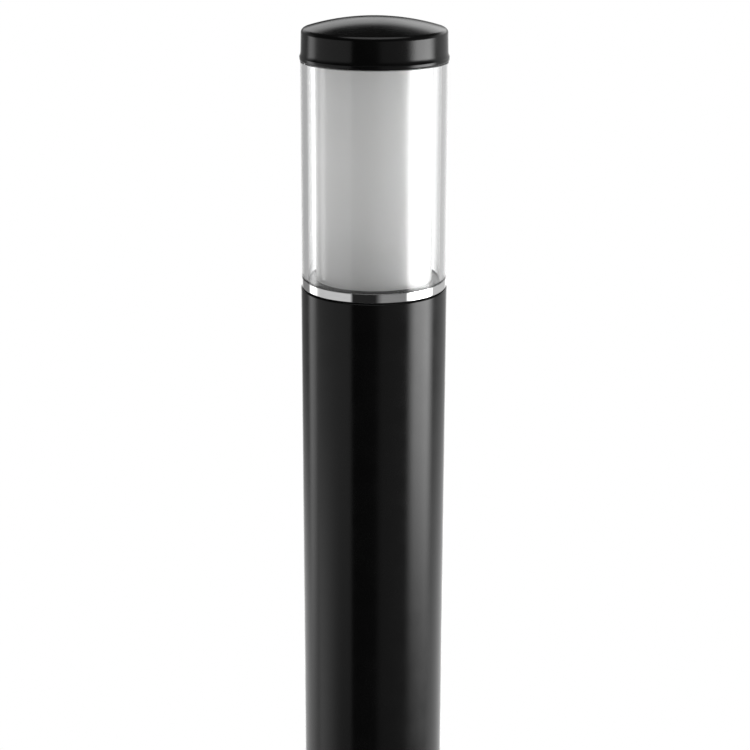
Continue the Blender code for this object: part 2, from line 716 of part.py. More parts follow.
def build_terminal(mats, body, tray):
    width, depth, height = TERMINAL
    back = TRAY_Y - GAP
    front = back - depth
    low = (-width / 2, front, TERMINAL_TOP - height)
    high = (width / 2, back, TERMINAL_TOP)
    block = box("terminal_block", low, high)
    block = place("terminal_block", block, mats["grey_plastic"], parent=body)
    pitch = width / (POLES + 1)
    for i in range(POLES):
        x = pitch * (i - (POLES - 1) / 2)
        for drop in WELL_DROPS:
            start = (x, front - OVERSHOOT, TERMINAL_TOP - drop)
            drill(block, WELL_RADIUS, start, (0, 1, 0), WELL_DEPTH + OVERSHOOT)
    z = TERMINAL_TOP - height / 2
    for number, side in enumerate((-1, 1), 1):
        x = side * (width / 2 - TERMINAL_SCREW_INSET)
        start = (x, front - OVERSHOOT, z)
        drill(block, M3_RADIUS + GAP, start, (0, 1, 0), depth + 2 * OVERSHOOT)
        tray_hole(tray, x, z, M3_RADIUS + GAP)
        name = f"terminal_screw_{number}"
        length = depth + TERMINAL_SCREW_REACH
        mesh = pan_screw(name, M3_RADIUS, length, TERMINAL_HEAD_RADIUS, M3_HEAD_HEIGHT)
        seat = (x, front - GAP, z)
        place(name, mesh, mats["zinc"], seat, (math.pi / 2, 0, 0), body)


def build_clamp(mats, body, tray):
    """Saddle that grips the supply cable against the tray."""
    back = TRAY_Y - GAP
    half = CLAMP_SCREW_X + CLAMP_EAR_REACH
    lean = math.degrees(math.asin(CLAMP_EAR_THICKNESS / CLAMP_CROWN))
    arch = arc((0, back), CLAMP_BORE, 180, 360, 8)
    crown = arc((0, back), CLAMP_CROWN, 360 - lean, 180 + lean, 8)
    ear = back - CLAMP_EAR_THICKNESS
    outline = [(-half, back), *arch, (half, back), (half, ear), *crown, (-half, ear)]
    mesh = prism("cable_clamp", outline, CLAMP_HEIGHT)
    bottom = (0, 0, CLAMP_Z - CLAMP_HEIGHT / 2)
    clamp = place("cable_clamp", mesh, mats["white_plastic"], bottom, parent=body)
    through = CLAMP_EAR_THICKNESS + 2 * OVERSHOOT
    for number, side in enumerate((-1, 1), 1):
        x = side * CLAMP_SCREW_X
        drill(clamp, M4_RADIUS + GAP, (x, ear - OVERSHOOT, CLAMP_Z), (0, 1, 0), through)
        tray_hole(tray, x, CLAMP_Z)
        front_screw(f"clamp_screw_{number}", x, CLAMP_Z, ear, SHORT_SCREW_LENGTH, mats, body)


def build_earth(mats, body, tray):
    x, z = EARTH
    tray_hole(tray, x, z)
    thickness = EARTH_WASHER_THICKNESS
    mesh = washer("earth_washer", M4_RADIUS + GAP, EARTH_WASHER_RADIUS, 0, thickness, SMALL)
    seat = (x, TRAY_Y - GAP, z)
    place("earth_washer", mesh, mats["zinc"], seat, (math.pi / 2, 0, 0), body)
    face = TRAY_Y - GAP - thickness
    front_screw("earth_screw", x, z, face, SHORT_SCREW_LENGTH, mats, body)


def build_leads(mats, body):
    back = TRAY_Y - GAP
    driver_bottom = DRIVER_TOP - DRIVER[2]
    middle = back - DRIVER[1] / 2
    leave, turn, meet, rise = (DRIVER_TOP + step for step in LED_LEAD_RISE)
    route = [
        (0, middle, DRIVER_TOP + GAP),
        (0, middle, leave),
        (0, (middle + LEAD_Y) / 2, turn),
        (0, LEAD_Y, meet),
        (0, LEAD_Y, rise),
        (0, LEAD_Y, LEAD_TOP),
    ]
    lead("led_lead", route, LED_LEAD_RADIUS, mats["jacket"], body)
    y = back - TERMINAL[1] / 2
    pitch = TERMINAL[0] / (POLES + 1)
    leave, turn, meet = (driver_bottom - step for step in CORE_DROP)
    for name, place_in_row in (("brown", -1), ("blue", 1)):
        x = place_in_row * pitch
        route = [
            (x * 0.6, middle, driver_bottom - GAP),
            (x * 0.6, middle, leave),
            (x * 0.8, (middle + y) / 2, turn),
            (x, y, meet),
            (x, y, TERMINAL_TOP + GAP),
        ]
        lead(f"{name}_lead", route, CORE_RADIUS, mats[name], body)


# ---- Diffuser, clear tube and cap ---------------------------------------------------------------


def build_opal(mats, body):
    bottom = DECK_TOP + GAP
    mesh = washer("opal_diffuser", OPAL_BORE, OPAL_RADIUS, bottom, OPAL_TOP, LARGE)
    place("opal_diffuser", mesh, mats["opal"], parent=body)


def build_tube(mats, body):
    """Clear tube whose two ends are rebated to sit inside the ring and the cap."""
    profile = [
        (TUBE_BORE, TUBE_BOTTOM),
        (TUBE_REBATE, TUBE_BOTTOM),
        (TUBE_REBATE, RING_TOP + GAP),
        (TUBE_RADIUS, RING_TOP + GAP),
        (TUBE_RADIUS, CAP_BOTTOM - GAP),
        (TUBE_REBATE, CAP_BOTTOM - GAP),
        (TUBE_REBATE, TUBE_TOP),
        (TUBE_BORE, TUBE_TOP),
    ]
    place("clear_tube", turned("clear_tube", profile, LARGE), mats["clear"], parent=body)


def cap_seat():
    """Height of the cap's inner ledge, which presses on the gasket over the tube's end."""
    return TUBE_TOP + GAP + CAP_GASKET_THICKNESS + GAP


def build_cap_gasket(mats, body):
    bottom = TUBE_TOP + GAP
    mesh = washer("cap_gasket", TUBE_BORE + FIT, TUBE_REBATE, bottom, cap_seat() - GAP, LARGE)
    place("cap_gasket", mesh, mats["rubber"], parent=body)


def cap_outline():
    """Outside of the cap from its lower edge to the apex."""
    edge = (CAP_LIP_RADIUS - CAP_LIP_FILLET, CAP_BOTTOM + CAP_LIP_FILLET)
    outline = arc(edge, CAP_LIP_FILLET, -90, 0, 2)
    outline += [(CAP_LIP_RADIUS, LIP_TOP)]
    steps = 3
    for i in range(1, steps + 1):  # hollow flare from the lip into the body
        t = i / steps
        r = CAP_BODY_RADIUS + (CAP_LIP_RADIUS - CAP_BODY_RADIUS) * (1 - t) ** 2
        outline.append((r, LIP_TOP + (BODY_BOTTOM - LIP_TOP) * t))
    corner = (CAP_SHOULDER_RADIUS - CAP_SHOULDER_FILLET, BODY_TOP)
    dome_start = 90 - math.degrees(DOME_EDGE_ANGLE)
    outline += arc(corner, CAP_SHOULDER_FILLET, 0, dome_start, 3)
    edge_radius, edge_height = outline[-1]
    sphere = edge_radius / math.sin(DOME_EDGE_ANGLE)
    middle = (0, edge_height - sphere * math.cos(DOME_EDGE_ANGLE))
    outline += arc(middle, sphere, dome_start, 90, 5)[1:-1]
    outline.append((0, middle[1] + sphere))
    return outline


def build_cap(mats, body):
    inside = [
        (0, CAP_BOSS_BORE_TOP),
        (ROD_RADIUS + FIT, CAP_BOSS_BORE_TOP),
        (ROD_RADIUS + FIT, CAP_BOSS_BOTTOM),
        (CAP_BOSS_RADIUS, CAP_BOSS_BOTTOM),
        (CAP_BOSS_RADIUS, CAP_CEILING + CEILING_SLOPE),
        (CAP_CAVITY_RADIUS - CEILING_CHAMFER, CAP_CEILING),
        (CAP_CAVITY_RADIUS, CAP_CEILING - CEILING_CHAMFER),
        (CAP_CAVITY_RADIUS, cap_seat()),
        (TUBE_REBATE + FIT, cap_seat()),
        (TUBE_REBATE + FIT, CAP_BOTTOM),
    ]
    mesh = turned("cap", inside + cap_outline(), LARGE)
    place("cap", mesh, mats["black_coat"], parent=body)


# ---- Assembly -----------------------------------------------------------------------------------


def main():
    clear_scene()
    mats = make_materials()
    rim = (0, 0, RIM_Z)
    build_post(mats, place("body_post", None))
    build_head(mats, place("body_head", None, location=rim))
    build_opal(mats, place("body_opal", None, location=rim))
    build_tube(mats, place("body_tube", None, location=rim))
    build_cap_gasket(mats, place("body_cap_seal", None, location=rim))
    build_cap(mats, place("body_cap", None, location=rim))


main()
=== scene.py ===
"""Looks of the bollard light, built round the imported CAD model. Metres, +Z up, front towards -Y."""

import json
import math

import bmesh
import bpy
from mathutils import Matrix, Vector


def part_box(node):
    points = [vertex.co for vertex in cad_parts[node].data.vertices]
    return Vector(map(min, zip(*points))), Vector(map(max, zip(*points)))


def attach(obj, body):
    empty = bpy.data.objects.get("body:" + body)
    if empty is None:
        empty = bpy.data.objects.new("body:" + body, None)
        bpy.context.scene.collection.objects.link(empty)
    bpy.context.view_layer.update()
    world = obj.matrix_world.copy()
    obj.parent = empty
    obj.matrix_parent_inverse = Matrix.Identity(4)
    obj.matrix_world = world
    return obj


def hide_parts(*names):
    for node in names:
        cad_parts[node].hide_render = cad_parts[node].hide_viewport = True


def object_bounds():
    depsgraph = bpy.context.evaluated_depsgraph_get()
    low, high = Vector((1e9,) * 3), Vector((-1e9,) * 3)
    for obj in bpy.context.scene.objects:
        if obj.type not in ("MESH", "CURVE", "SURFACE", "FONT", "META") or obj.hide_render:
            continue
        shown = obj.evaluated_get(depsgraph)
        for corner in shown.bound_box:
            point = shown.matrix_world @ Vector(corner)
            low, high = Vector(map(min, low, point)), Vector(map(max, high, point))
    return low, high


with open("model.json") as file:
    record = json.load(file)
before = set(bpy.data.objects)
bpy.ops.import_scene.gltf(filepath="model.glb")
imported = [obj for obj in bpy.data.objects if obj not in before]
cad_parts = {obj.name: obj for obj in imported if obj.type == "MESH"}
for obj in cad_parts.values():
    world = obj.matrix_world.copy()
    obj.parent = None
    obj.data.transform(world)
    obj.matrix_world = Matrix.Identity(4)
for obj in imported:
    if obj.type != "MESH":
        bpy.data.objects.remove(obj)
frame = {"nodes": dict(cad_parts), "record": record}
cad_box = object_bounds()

# ---- Places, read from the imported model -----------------


def extent(node):
    """(outer radius, lowest z, highest z) of a round node on the post's axis."""
    low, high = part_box(node)
    return high[0], low[2], high[2]


POST_RADIUS, POST_BOTTOM, RIM = extent("post_tube")
FLANGE_RADIUS, FLANGE_BOTTOM, SPIGOT_TOP = extent("base_flange")
_, RING_BOTTOM, RING_TOP = extent("trim_ring")
TUBE_RADIUS, TUBE_BOTTOM, TUBE_TOP = extent("clear_tube")
OPAL_RADIUS, OPAL_BOTTOM, OPAL_TOP = extent("opal_diffuser")
CAP_RADIUS, CAP_BOTTOM, _ = extent("cap")
SHOULDER_RADIUS, HEAD_SPIGOT_BOTTOM, DECK_TOP = extent("head_base")
SEAL_RADIUS, _, CAP_SEAL_TOP = extent("cap_gasket")
ROD_RADIUS, ROD_BOTTOM, ROD_TOP = extent("tie_rod")

# ---- Inner sizes that the boxes don't show --------------

GAP = 0.0003
FIT = 0.0004
POST_BORE = 0.0515
SPIGOT_RADIUS = POST_BORE - FIT
SPIGOT_BORE = 0.0465
FLANGE_THICKNESS = POST_BOTTOM - FLANGE_BOTTOM - GAP
FLANGE_HOLE_CIRCLE = 0.150
FLANGE_HOLE_RADIUS = 0.0055
CABLE_HOLE_RADIUS = 0.030
RING_BORE = 0.0537
DECK_RADIUS = 0.0497
DECK_BOTTOM = RIM + 0.0024
LEDGE_TOP = RIM + 0.0035
TUBE_BORE = 0.050
TUBE_REBATE = 0.0533
OPAL_BORE = 0.041
LIP_TOP = RIM + 0.1755
BODY_BOTTOM = RIM + 0.1795
BODY_TOP = RIM + 0.19227
CAP_BODY_RADIUS = 0.05465
CAP_SHOULDER_RADIUS = 0.0543
CAP_SHOULDER_FILLET = 0.00368
CAP_LIP_FILLET = 0.0016
DOME_EDGE_ANGLE = math.radians(17.16)
CAP_CAVITY_RADIUS = 0.0504
CAP_CEILING = RIM + 0.1935
CEILING_SLOPE = 0.0055
CEILING_CHAMFER = 0.0045
CAP_BOSS_RADIUS = 0.009
CAP_BOSS_BOTTOM = RIM + 0.178
CAP_BOSS_BORE_TOP = RIM + 0.190
LEAD_Y = 0.0128
LEAD_HOLE = 0.0046
GROMMET_HOLE = 0.0032
M4_HOLE = 0.0023
M3_HOLE = 0.0018
OVER = 0.001  # how far a cutter starts outside what it cuts

ROUND = 256  # sides of the pieces that show
FINE = 48
SHARP = math.radians(40)

# ---- Camera ---------------------------------------------

CAMERA_PLACE = (0.00095, -1.4417, RIM + 0.0005 + 0.3807)
CAMERA_PITCH = math.radians(17.43)
CAMERA_ROLL = math.radians(0.145)
CAMERA_LENS = 93.59


def make_camera():
    bpy.context.scene.view_settings.view_transform = "Standard"
    data = bpy.data.cameras.new("camera")
    data.lens = CAMERA_LENS
    data.sensor_width = 36
    data.clip_start = 0.01
    data.clip_end = 50
    camera = bpy.data.objects.new("camera", data)
    aim = Matrix.Rotation(math.pi / 2 - CAMERA_PITCH, 4, "X")
    roll = Matrix.Rotation(CAMERA_ROLL, 4, "Z")
    camera.matrix_world = Matrix.Translation(CAMERA_PLACE) @ aim @ roll
    bpy.context.scene.collection.objects.link(camera)
    bpy.context.scene.camera = camera


# ---- Node helpers ---------------------------------------


class Nodes:
    """Short names for adding and linking shader nodes in one tree."""

    def __init__(self, tree):
        self.tree = tree
        tree.nodes.clear()

    def add(self, kind, **settings):
        node = self.tree.nodes.new(kind)
        for key, value in settings.items():
            setattr(node, key, value)
        return node

    def set(self, socket, value):
        if isinstance(value, bpy.types.NodeSocket):
            self.tree.links.new(value, socket)
        else:
            socket.default_value = value

    def math(self, operation, *values):
        node = self.add("ShaderNodeMath", operation=operation)
        for socket, value in zip(node.inputs, values):
            self.set(socket, value)
        return node.outputs[0]

    def noise(self, vector, scale, detail=2.0):
        node = self.add("ShaderNodeTexNoise")
        self.set(node.inputs["Vector"], vector)
        self.set(node.inputs["Scale"], scale)
        self.set(node.inputs["Detail"], detail)
        return node.outputs["Fac"]

    def ramp(self, factor, stops):
        """Colour ramp from (position, colour or grey) stops."""
        node = self.add("ShaderNodeValToRGB")
        elements = node.color_ramp.elements
        while len(elements) < len(stops):
            elements.new(1.0)
        for element, (position, colour) in zip(elements, stops):
            element.position = position
            grey = isinstance(colour, (int, float))
            element.color = (colour, colour, colour, 1.0) if grey else (*colour, 1.0)
        self.set(node.inputs["Fac"], factor)
        return node.outputs["Color"]

    def span(self, value, low, high, to_low, to_high, **settings):
        node = self.add("ShaderNodeMapRange", **settings)
        for socket, number in zip(node.inputs, (value, low, high, to_low, to_high)):
            self.set(socket, number)
        return node.outputs["Result"]

    def bump(self, height, strength, distance):
        node = self.add("ShaderNodeBump")
        self.set(node.inputs["Height"], height)
        self.set(node.inputs["Strength"], strength)
        self.set(node.inputs["Distance"], distance)
        return node.outputs["Normal"]


# ---- Studio ---------------------------------------------

# Soft panels round the object: the middle's direction in degrees from the camera's side towards its
# right, half the width and the softness of its edges, the lowest and highest elevation and the
# softness there, and the brightness. The camera's side stays dark at the object's level.
PANELS = {
    "right_softbox": (81, 20, 20, -21, 2, 14, 8.8),
    "right_fill": (36, 28, 14, -30, 10, 20, 0.24),
    "rear_right": (138, 36, 12, -30, 25, 20, 0.55),
    "left_strip": (-113, 10, 14, -21, 4, 14, 2.0),
    "left_wall": (-68, 32, 6, -30, 10, 20, 0.58),
    "rear_left": (-140, 28, 14, -30, 25, 20, 0.22),
    "back_wall": (180, 16, 16, -80, -5, 6, 1.0),
    "back_light": (170, 32, 40, 8, 24, 6, 0.95),
    "floor_sweep": (180, 110, 40, -80, -21, 10, 0.75),
    "overhead": (0, 200, 10, 64, 100, 12, 1.6),
}
AMBIENT = 0.02
BACKDROP = 1.0  # what the camera sees past the object
THROUGH_GLASS = 0.45  # least brightness seen through clear acrylic


def make_studio():
    """Sky that is plain white to the camera and lights the object with the soft panels."""
    world = bpy.data.worlds.new("studio")
    bpy.context.scene.world = world
    world.use_nodes = True
    n = Nodes(world.node_tree)
    towards = n.add("ShaderNodeSeparateXYZ")
    n.set(towards.inputs[0], n.add("ShaderNodeTexCoord").outputs["Generated"])
    x, y, z = towards.outputs
    turn = n.math("DEGREES", n.math("ARCTAN2", x, n.math("MULTIPLY", y, -1.0)))
    height = n.math("DEGREES", n.math("ARCSINE", z))

    def edge(value, start, end):
        """Rises smoothly from 0 at start to 1 at end."""
        return n.span(value, start, end, 0.0, 1.0, interpolation_type="SMOOTHSTEP")

    def panel(middle, half, soft, low, high, fade, brightness):
        wrap = n.math("WRAP", n.math("SUBTRACT", turn, middle), 180.0, -180.0)
        across = edge(n.math("ABSOLUTE", wrap), half + soft / 2, half - soft / 2)
        above = edge(height, low - fade / 2, low + fade / 2)
        below = edge(height, high + fade / 2, high - fade / 2)
        shape = n.math("MULTIPLY", across, n.math("MULTIPLY", above, below))
        return n.math("MULTIPLY", shape, brightness)

    def blend(factor, first, second):
        mix = n.add("ShaderNodeMix", data_type="FLOAT")
        for socket, value in zip(mix.inputs[:1] + mix.inputs[2:4], (factor, first, second)):
            n.set(socket, value)
        return mix.outputs[0]

    studio = AMBIENT
    for values in PANELS.values():
        studio = n.math("ADD", studio, panel(*values))
    path = n.add("ShaderNodeLightPath").outputs
    direct = n.math("LESS_THAN", path["Diffuse Depth"], 0.5)
    in_glass = n.math("MULTIPLY", path["Is Transmission Ray"], direct)
    glass = n.math("MAXIMUM", studio, n.math("MULTIPLY", in_glass, THROUGH_GLASS))
    light = blend(path["Is Camera Ray"], glass, BACKDROP)
    background = n.add("ShaderNodeBackground")
    background.inputs["Color"].default_value = (1, 1, 1, 1)
    n.set(background.inputs["Strength"], light)
    output = n.add("ShaderNodeOutputWorld")
    n.set(output.inputs["Surface"], background.outputs[0])


FLOOR_RADIUS = 0.62
FLOOR_PALE = 0.9
FLOOR_LIFT = 0.45  # emission that keeps the floor pale in the object's shade


def make_floor():
    """Pale round floor that fades into the white backdrop at its rim."""
    bm = bmesh.new()
    bmesh.ops.create_circle(bm, cap_ends=True, segments=ROUND, radius=FLOOR_RADIUS)
    mesh = bpy.data.meshes.new("floor")
    bm.to_mesh(mesh)
    bm.free()
    made = bpy.data.materials.new("pale_floor")
    made.use_nodes = True
    n = Nodes(made.node_tree)
    where = n.add("ShaderNodeTexCoord").outputs["Object"]
    distance = n.add("ShaderNodeVectorMath", operation="LENGTH")
    n.set(distance.inputs[0], where)
    fade = n.span(distance.outputs["Value"], FLOOR_RADIUS * 0.4, FLOOR_RADIUS * 0.99, 0.0, 1.0)
    paint = n.add("ShaderNodeBsdfPrincipled")
    paint.inputs["Base Color"].default_value = (FLOOR_PALE, FLOOR_PALE, FLOOR_PALE, 1)
    paint.inputs["Emission Color"].default_value = (1, 1, 1, 1)
    paint.inputs["Emission Strength"].default_value = FLOOR_LIFT
    n.set(paint.inputs["Roughness"], n.span(n.noise(where, 40.0), 0, 1, 0.75, 0.9))
    clear = n.add("ShaderNodeBsdfTransparent")
    mix = n.add("ShaderNodeMixShader")
    n.set(mix.inputs[0], fade)
    n.set(mix.inputs[1], paint.outputs[0])
    n.set(mix.inputs[2], clear.outputs[0])
    output = n.add("ShaderNodeOutputMaterial")
    n.set(output.inputs["Surface"], mix.outputs[0])
    mesh.materials.append(made)
    floor = bpy.data.objects.new("floor", mesh)
    floor.location = (0, 0, cad_box[0][2] - GAP)
    bpy.context.scene.collection.objects.link(floor)


# ---- Materials ------------------------------------------


def surface(name):
    """(nodes, Principled shader, object coordinates) of a new material."""
    made = bpy.data.materials.new(name)
    made.use_nodes = True
    n = Nodes(made.node_tree)
    shader = n.add("ShaderNodeBsdfPrincipled")
    output = n.add("ShaderNodeOutputMaterial")
    n.set(output.inputs["Surface"], shader.outputs[0])
    return made, n, shader, n.add("ShaderNodeTexCoord").outputs["Object"]


def black_coat():
    """Satin black powder coat: fine orange peel and a slightly uneven gloss."""
    made, n, shader, where = surface("black_powder_coat")
    cloud = n.noise(where, 60.0, 3.0)
    n.set(shader.inputs["Base Color"], n.ramp(cloud, [(0.3, 0.0066), (0.7, 0.0084)]))
    n.set(shader.inputs["Roughness"], n.span(cloud, 0.3, 0.7, 0.13, 0.19))
    shader.inputs["IOR"].default_value = 1.35
    peel = n.noise(where, 700.0, 2.0)
    n.set(shader.inputs["Normal"], n.bump(peel, 0.05, 0.0003))
    return made


def clear_acrylic():
    made, n, shader, where = surface("clear_acrylic")
    shader.inputs["Transmission Weight"].default_value = 1.0
    shader.inputs["IOR"].default_value = 1.49
    shader.inputs["Roughness"].default_value = 0.0
    cloud = n.noise(where, 20.0)
    n.set(shader.inputs["Base Color"], n.ramp(cloud, [(0.3, (0.985, 0.99, 0.99)), (0.7, 0.995)]))
    return made


# Painted glow: emission that stands in for studio light scattered in the opal wall, by share of the
# height, painted brightest a little above the middle and dimmer towards both ends
OPAL_PAINTED_GLOW = ((0.0, 0.13), (0.1, 0.18), (0.3, 0.26), (0.55, 0.29), (0.85, 0.26), (1.0, 0.21))


def opal_acrylic():
    made, n, shader, where = surface("opal_acrylic")
    cloud = n.noise(where, 35.0, 3.0)
    n.set(shader.inputs["Base Color"], n.ramp(cloud, [(0.3, (0.80, 0.80, 0.79)), (0.7, 0.82)]))
    n.set(shader.inputs["Roughness"], n.span(cloud, 0.3, 0.7, 0.15, 0.20))
    split = n.add("ShaderNodeSeparateXYZ")
    n.set(split.inputs[0], where)
    height = n.span(split.outputs["Z"], OPAL_BOTTOM, OPAL_TOP, 0.0, 1.0)
    # Painted glow: the opal gives out light though no lamp shines in it, brighter a little above its
    # middle
    n.set(shader.inputs["Emission Strength"], n.ramp(height, OPAL_PAINTED_GLOW))
    shader.inputs["Emission Color"].default_value = (1.0, 1.0, 0.99, 1)
    return made


def metal(name, dark, light, low, high, scale=(1, 1, 1), grain=300.0, bump=0.0):
    """Metal with a streaked or mottled finish; scale stretches the streaks."""
    made, n, shader, where = surface(name)
    shader.inputs["Metallic"].default_value = 1.0
    stretch = n.add("ShaderNodeMapping")
    n.set(stretch.inputs["Vector"], where)
    stretch.inputs["Scale"].default_value = scale
    streak = n.noise(stretch.outputs[0], grain, 3.0)
    n.set(shader.inputs["Base Color"], n.ramp(streak, [(0.3, dark), (0.7, light)]))
    n.set(shader.inputs["Roughness"], n.span(streak, 0.3, 0.7, low, high))
    if bump:
        n.set(shader.inputs["Normal"], n.bump(streak, bump, 0.0001))
    return made


def plastic(name, dark, light, low, high, grain=500.0, bump=0.1):
    """Moulded plastic or rubber with a fine spark-eroded texture."""
    made, n, shader, where = surface(name)
    cloud = n.noise(where, 50.0, 2.0)
    n.set(shader.inputs["Base Color"], n.ramp(cloud, [(0.3, dark), (0.7, light)]))
    n.set(shader.inputs["Roughness"], n.span(cloud, 0.3, 0.7, low, high))
    n.set(shader.inputs["Normal"], n.bump(n.noise(where, grain, 2.0), bump, 0.0002))
    return made


def make_materials():
    return {
        "black_coat": black_coat(),
        "clear_acrylic": clear_acrylic(),
        "opal_acrylic": opal_acrylic(),
        "polished_steel": metal(
            "polished_steel", 0.80, 0.86, 0.02, 0.05, scale=(1, 1, 8), grain=120.0
        ),
        "aluminium": metal(
            "extruded_aluminium", 0.55, 0.66, 0.28, 0.42, scale=(1, 1, 0.03), bump=0.2
        ),
        "zinc_steel": metal("zinc_plate", (0.66, 0.68, 0.71), (0.78, 0.78, 0.76), 0.38, 0.55),
        "rubber": plastic("black_rubber", 0.010, 0.016, 0.6, 0.75),
        "led_board": plastic("white_solder_mask", 0.74, 0.80, 0.35, 0.45, bump=0.03),
        "white_plastic": plastic("white_moulding", 0.70, 0.76, 0.40, 0.50),
        "grey_plastic": plastic("grey_moulding", 0.22, 0.27, 0.45, 0.55),
        "brown_insulation": plastic(
            "brown_pvc", (0.09, 0.035, 0.015), (0.13, 0.05, 0.025), 0.35, 0.45
        ),
        "blue_insulation": plastic("blue_pvc", (0.02, 0.10, 0.38), (0.03, 0.13, 0.46), 0.35, 0.45),
        "grey_jacket": plastic("grey_pvc", 0.36, 0.42, 0.40, 0.50),
        "phosphor": plastic("led_phosphor", (0.80, 0.55, 0.06), (0.85, 0.62, 0.10), 0.3, 0.4),
        "solder": metal("solder", 0.60, 0.75, 0.2, 0.35),
    }


# ---- Mesh helpers ---------------------------------------


def finished(bm, name, sharp=SHARP):
    bmesh.ops.remove_doubles(bm, verts=bm.verts, dist=1e-7)
    bmesh.ops.recalc_face_normals(bm, faces=bm.faces)
    mesh = bpy.data.meshes.new(name)
    bm.to_mesh(mesh)
    bm.free()
    mesh.shade_smooth()
    mesh.set_sharp_from_angle(angle=sharp)
    return mesh


def show(name, mesh, body, finish, *nodes, matrix=None):
    """Adds a piece that rides on a body, takes a finish and stands for CAD nodes."""
    piece = bpy.data.objects.new(name, mesh)
    if matrix is not None:
        piece.matrix_world = matrix
    bpy.context.scene.collection.objects.link(piece)
    if not mesh.materials:
        mesh.materials.append(MATERIALS[finish])
    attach(piece, body)
    if nodes:
        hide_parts(*nodes)
    return piece


def drawn(outline, depth):
    """Bmesh of a flat outline of 3-D points, drawn through a vector."""
    bm = bmesh.new()
    face = bm.faces.new([bm.verts.new(point) for point in outline])
    grown = bmesh.ops.extrude_face_region(bm, geom=[face])
    raised = [v for v in grown["geom"] if isinstance(v, bmesh.types.BMVert)]
    bmesh.ops.translate(bm, verts=raised, vec=depth)
    return bm


def arc(centre, radius, start, end, steps):
    """Points on an arc in the profile plane, with angles in degrees from +r towards +z."""
    angles = [math.radians(start + (end - start) * i / steps) for i in range(steps + 1)]
    return [(centre[0] + radius * math.cos(a), centre[1] + radius * math.sin(a)) for a in angles]


def eased(profile, radius, steps=3):
    """Closed profile with its corners rounded, each by no more than its sides allow.

    A point just past each rounding holds the flat beside it, so its shading stays flat.
    """
    count = len(profile)
    points = [Vector(p) for p in profile]
    result = []
    for i, corner in enumerate(points):
        before = points[i - 1] - corner
        after = points[(i + 1) % count] - corner
        if corner.x < 1e-9 or before.angle(after) > math.radians(165):
            result.append(tuple(corner))
            continue
        cut = min(radius, before.length * 0.3, after.length * 0.3)
        start = corner + before.normalized() * cut
        end = corner + after.normalized() * cut
        result.append(tuple(corner + before.normalized() * cut * 1.5))
        for j in range(steps + 1):
            t = j / steps
            result.append(tuple(start * (1 - t) ** 2 + corner * (2 * t * (1 - t)) + end * t**2))
        result.append(tuple(corner + after.normalized() * cut * 1.5))
    return result


def spin(profile, segments=ROUND):
    """Spins an (r, z) profile about Z. A profile that ends on the axis is closed by it."""
    bm = bmesh.new()
    verts = [bm.verts.new((r, 0, z)) for r, z in profile]
    edges = [bm.edges.new(pair) for pair in zip(verts, verts[1:])]
    if profile[0][0] > 0 or profile[-1][0] > 0:
        edges.append(bm.edges.new((verts[-1], verts[0])))
    bmesh.ops.spin(
        bm, geom=verts + edges, axis=(0, 0, 1), angle=math.tau, steps=segments, use_merge=True
    )
    return bm


def turned(name, profile, segments=ROUND):
    return finished(spin(profile, segments), name)


def carved(mesh, cutters, operation="DIFFERENCE"):
    """Mesh with each cutter taken away from it, or added to it, by an exact Boolean."""
    target = bpy.data.objects.new("carving", mesh)
    bpy.context.scene.collection.objects.link(target)
    tools = []
    for cutter in cutters:
        tool = bpy.data.objects.new("cutter", cutter)
        bpy.context.scene.collection.objects.link(tool)
        step = target.modifiers.new("cut", "BOOLEAN")
        step.operation = operation
        step.object = tool
        tools.append(tool)
    depsgraph = bpy.context.evaluated_depsgraph_get()
    result = bpy.data.meshes.new_from_object(target.evaluated_get(depsgraph))
    result.name = mesh.name
    for old in (target, *tools):
        bpy.data.objects.remove(old)
    result.shade_smooth()
    result.set_sharp_from_angle(angle=SHARP)
    return result


def moved(mesh, matrix):
    mesh.transform(matrix)
    return mesh


def pointing(start, direction):
    """Matrix that carries the origin and +Z to a point and a direction."""
    turn = Vector((0, 0, 1)).rotation_difference(Vector(direction)).to_matrix().to_4x4()
    return Matrix.Translation(start) @ turn


def drill_bit(start, direction, radius, length, chamfer=0.0):
    """Cutter for a round hole, opening out by a chamfer at its start."""
    profile = [(0, 0), (radius + chamfer, 0), (radius, chamfer), (radius, length), (0, length)]
    if not chamfer:
        profile = [(0, 0), (radius, 0), (radius, length), (0, length)]
    return moved(turned("bit", profile, FINE), pointing(start, direction))


def outward(azimuth, radius, z):
    a = math.radians(azimuth)
    direction = Vector((math.cos(a), math.sin(a), 0))
    return direction * radius + Vector((0, 0, z)), direction


# ---- Post -----------------------------------------------

BASE_SCREWS = {"base_set_screw_1": 90, "base_set_screw_2": 210, "base_set_screw_3": 330}
HEAD_SCREWS = {"head_set_screw_1": 60, "head_set_screw_2": 120}
SET_SCREW_RADIUS = 0.003
SET_SCREW_LENGTH = 0.0037
SOCKET_APOTHEM = 0.0015
SOCKET_DEPTH = 0.0026
HOLD = 0.006  # how far above and below a hole the post's wall is held flat


def middle(node):
    low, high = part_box(node)
    return (Vector(low) + Vector(high)) / 2


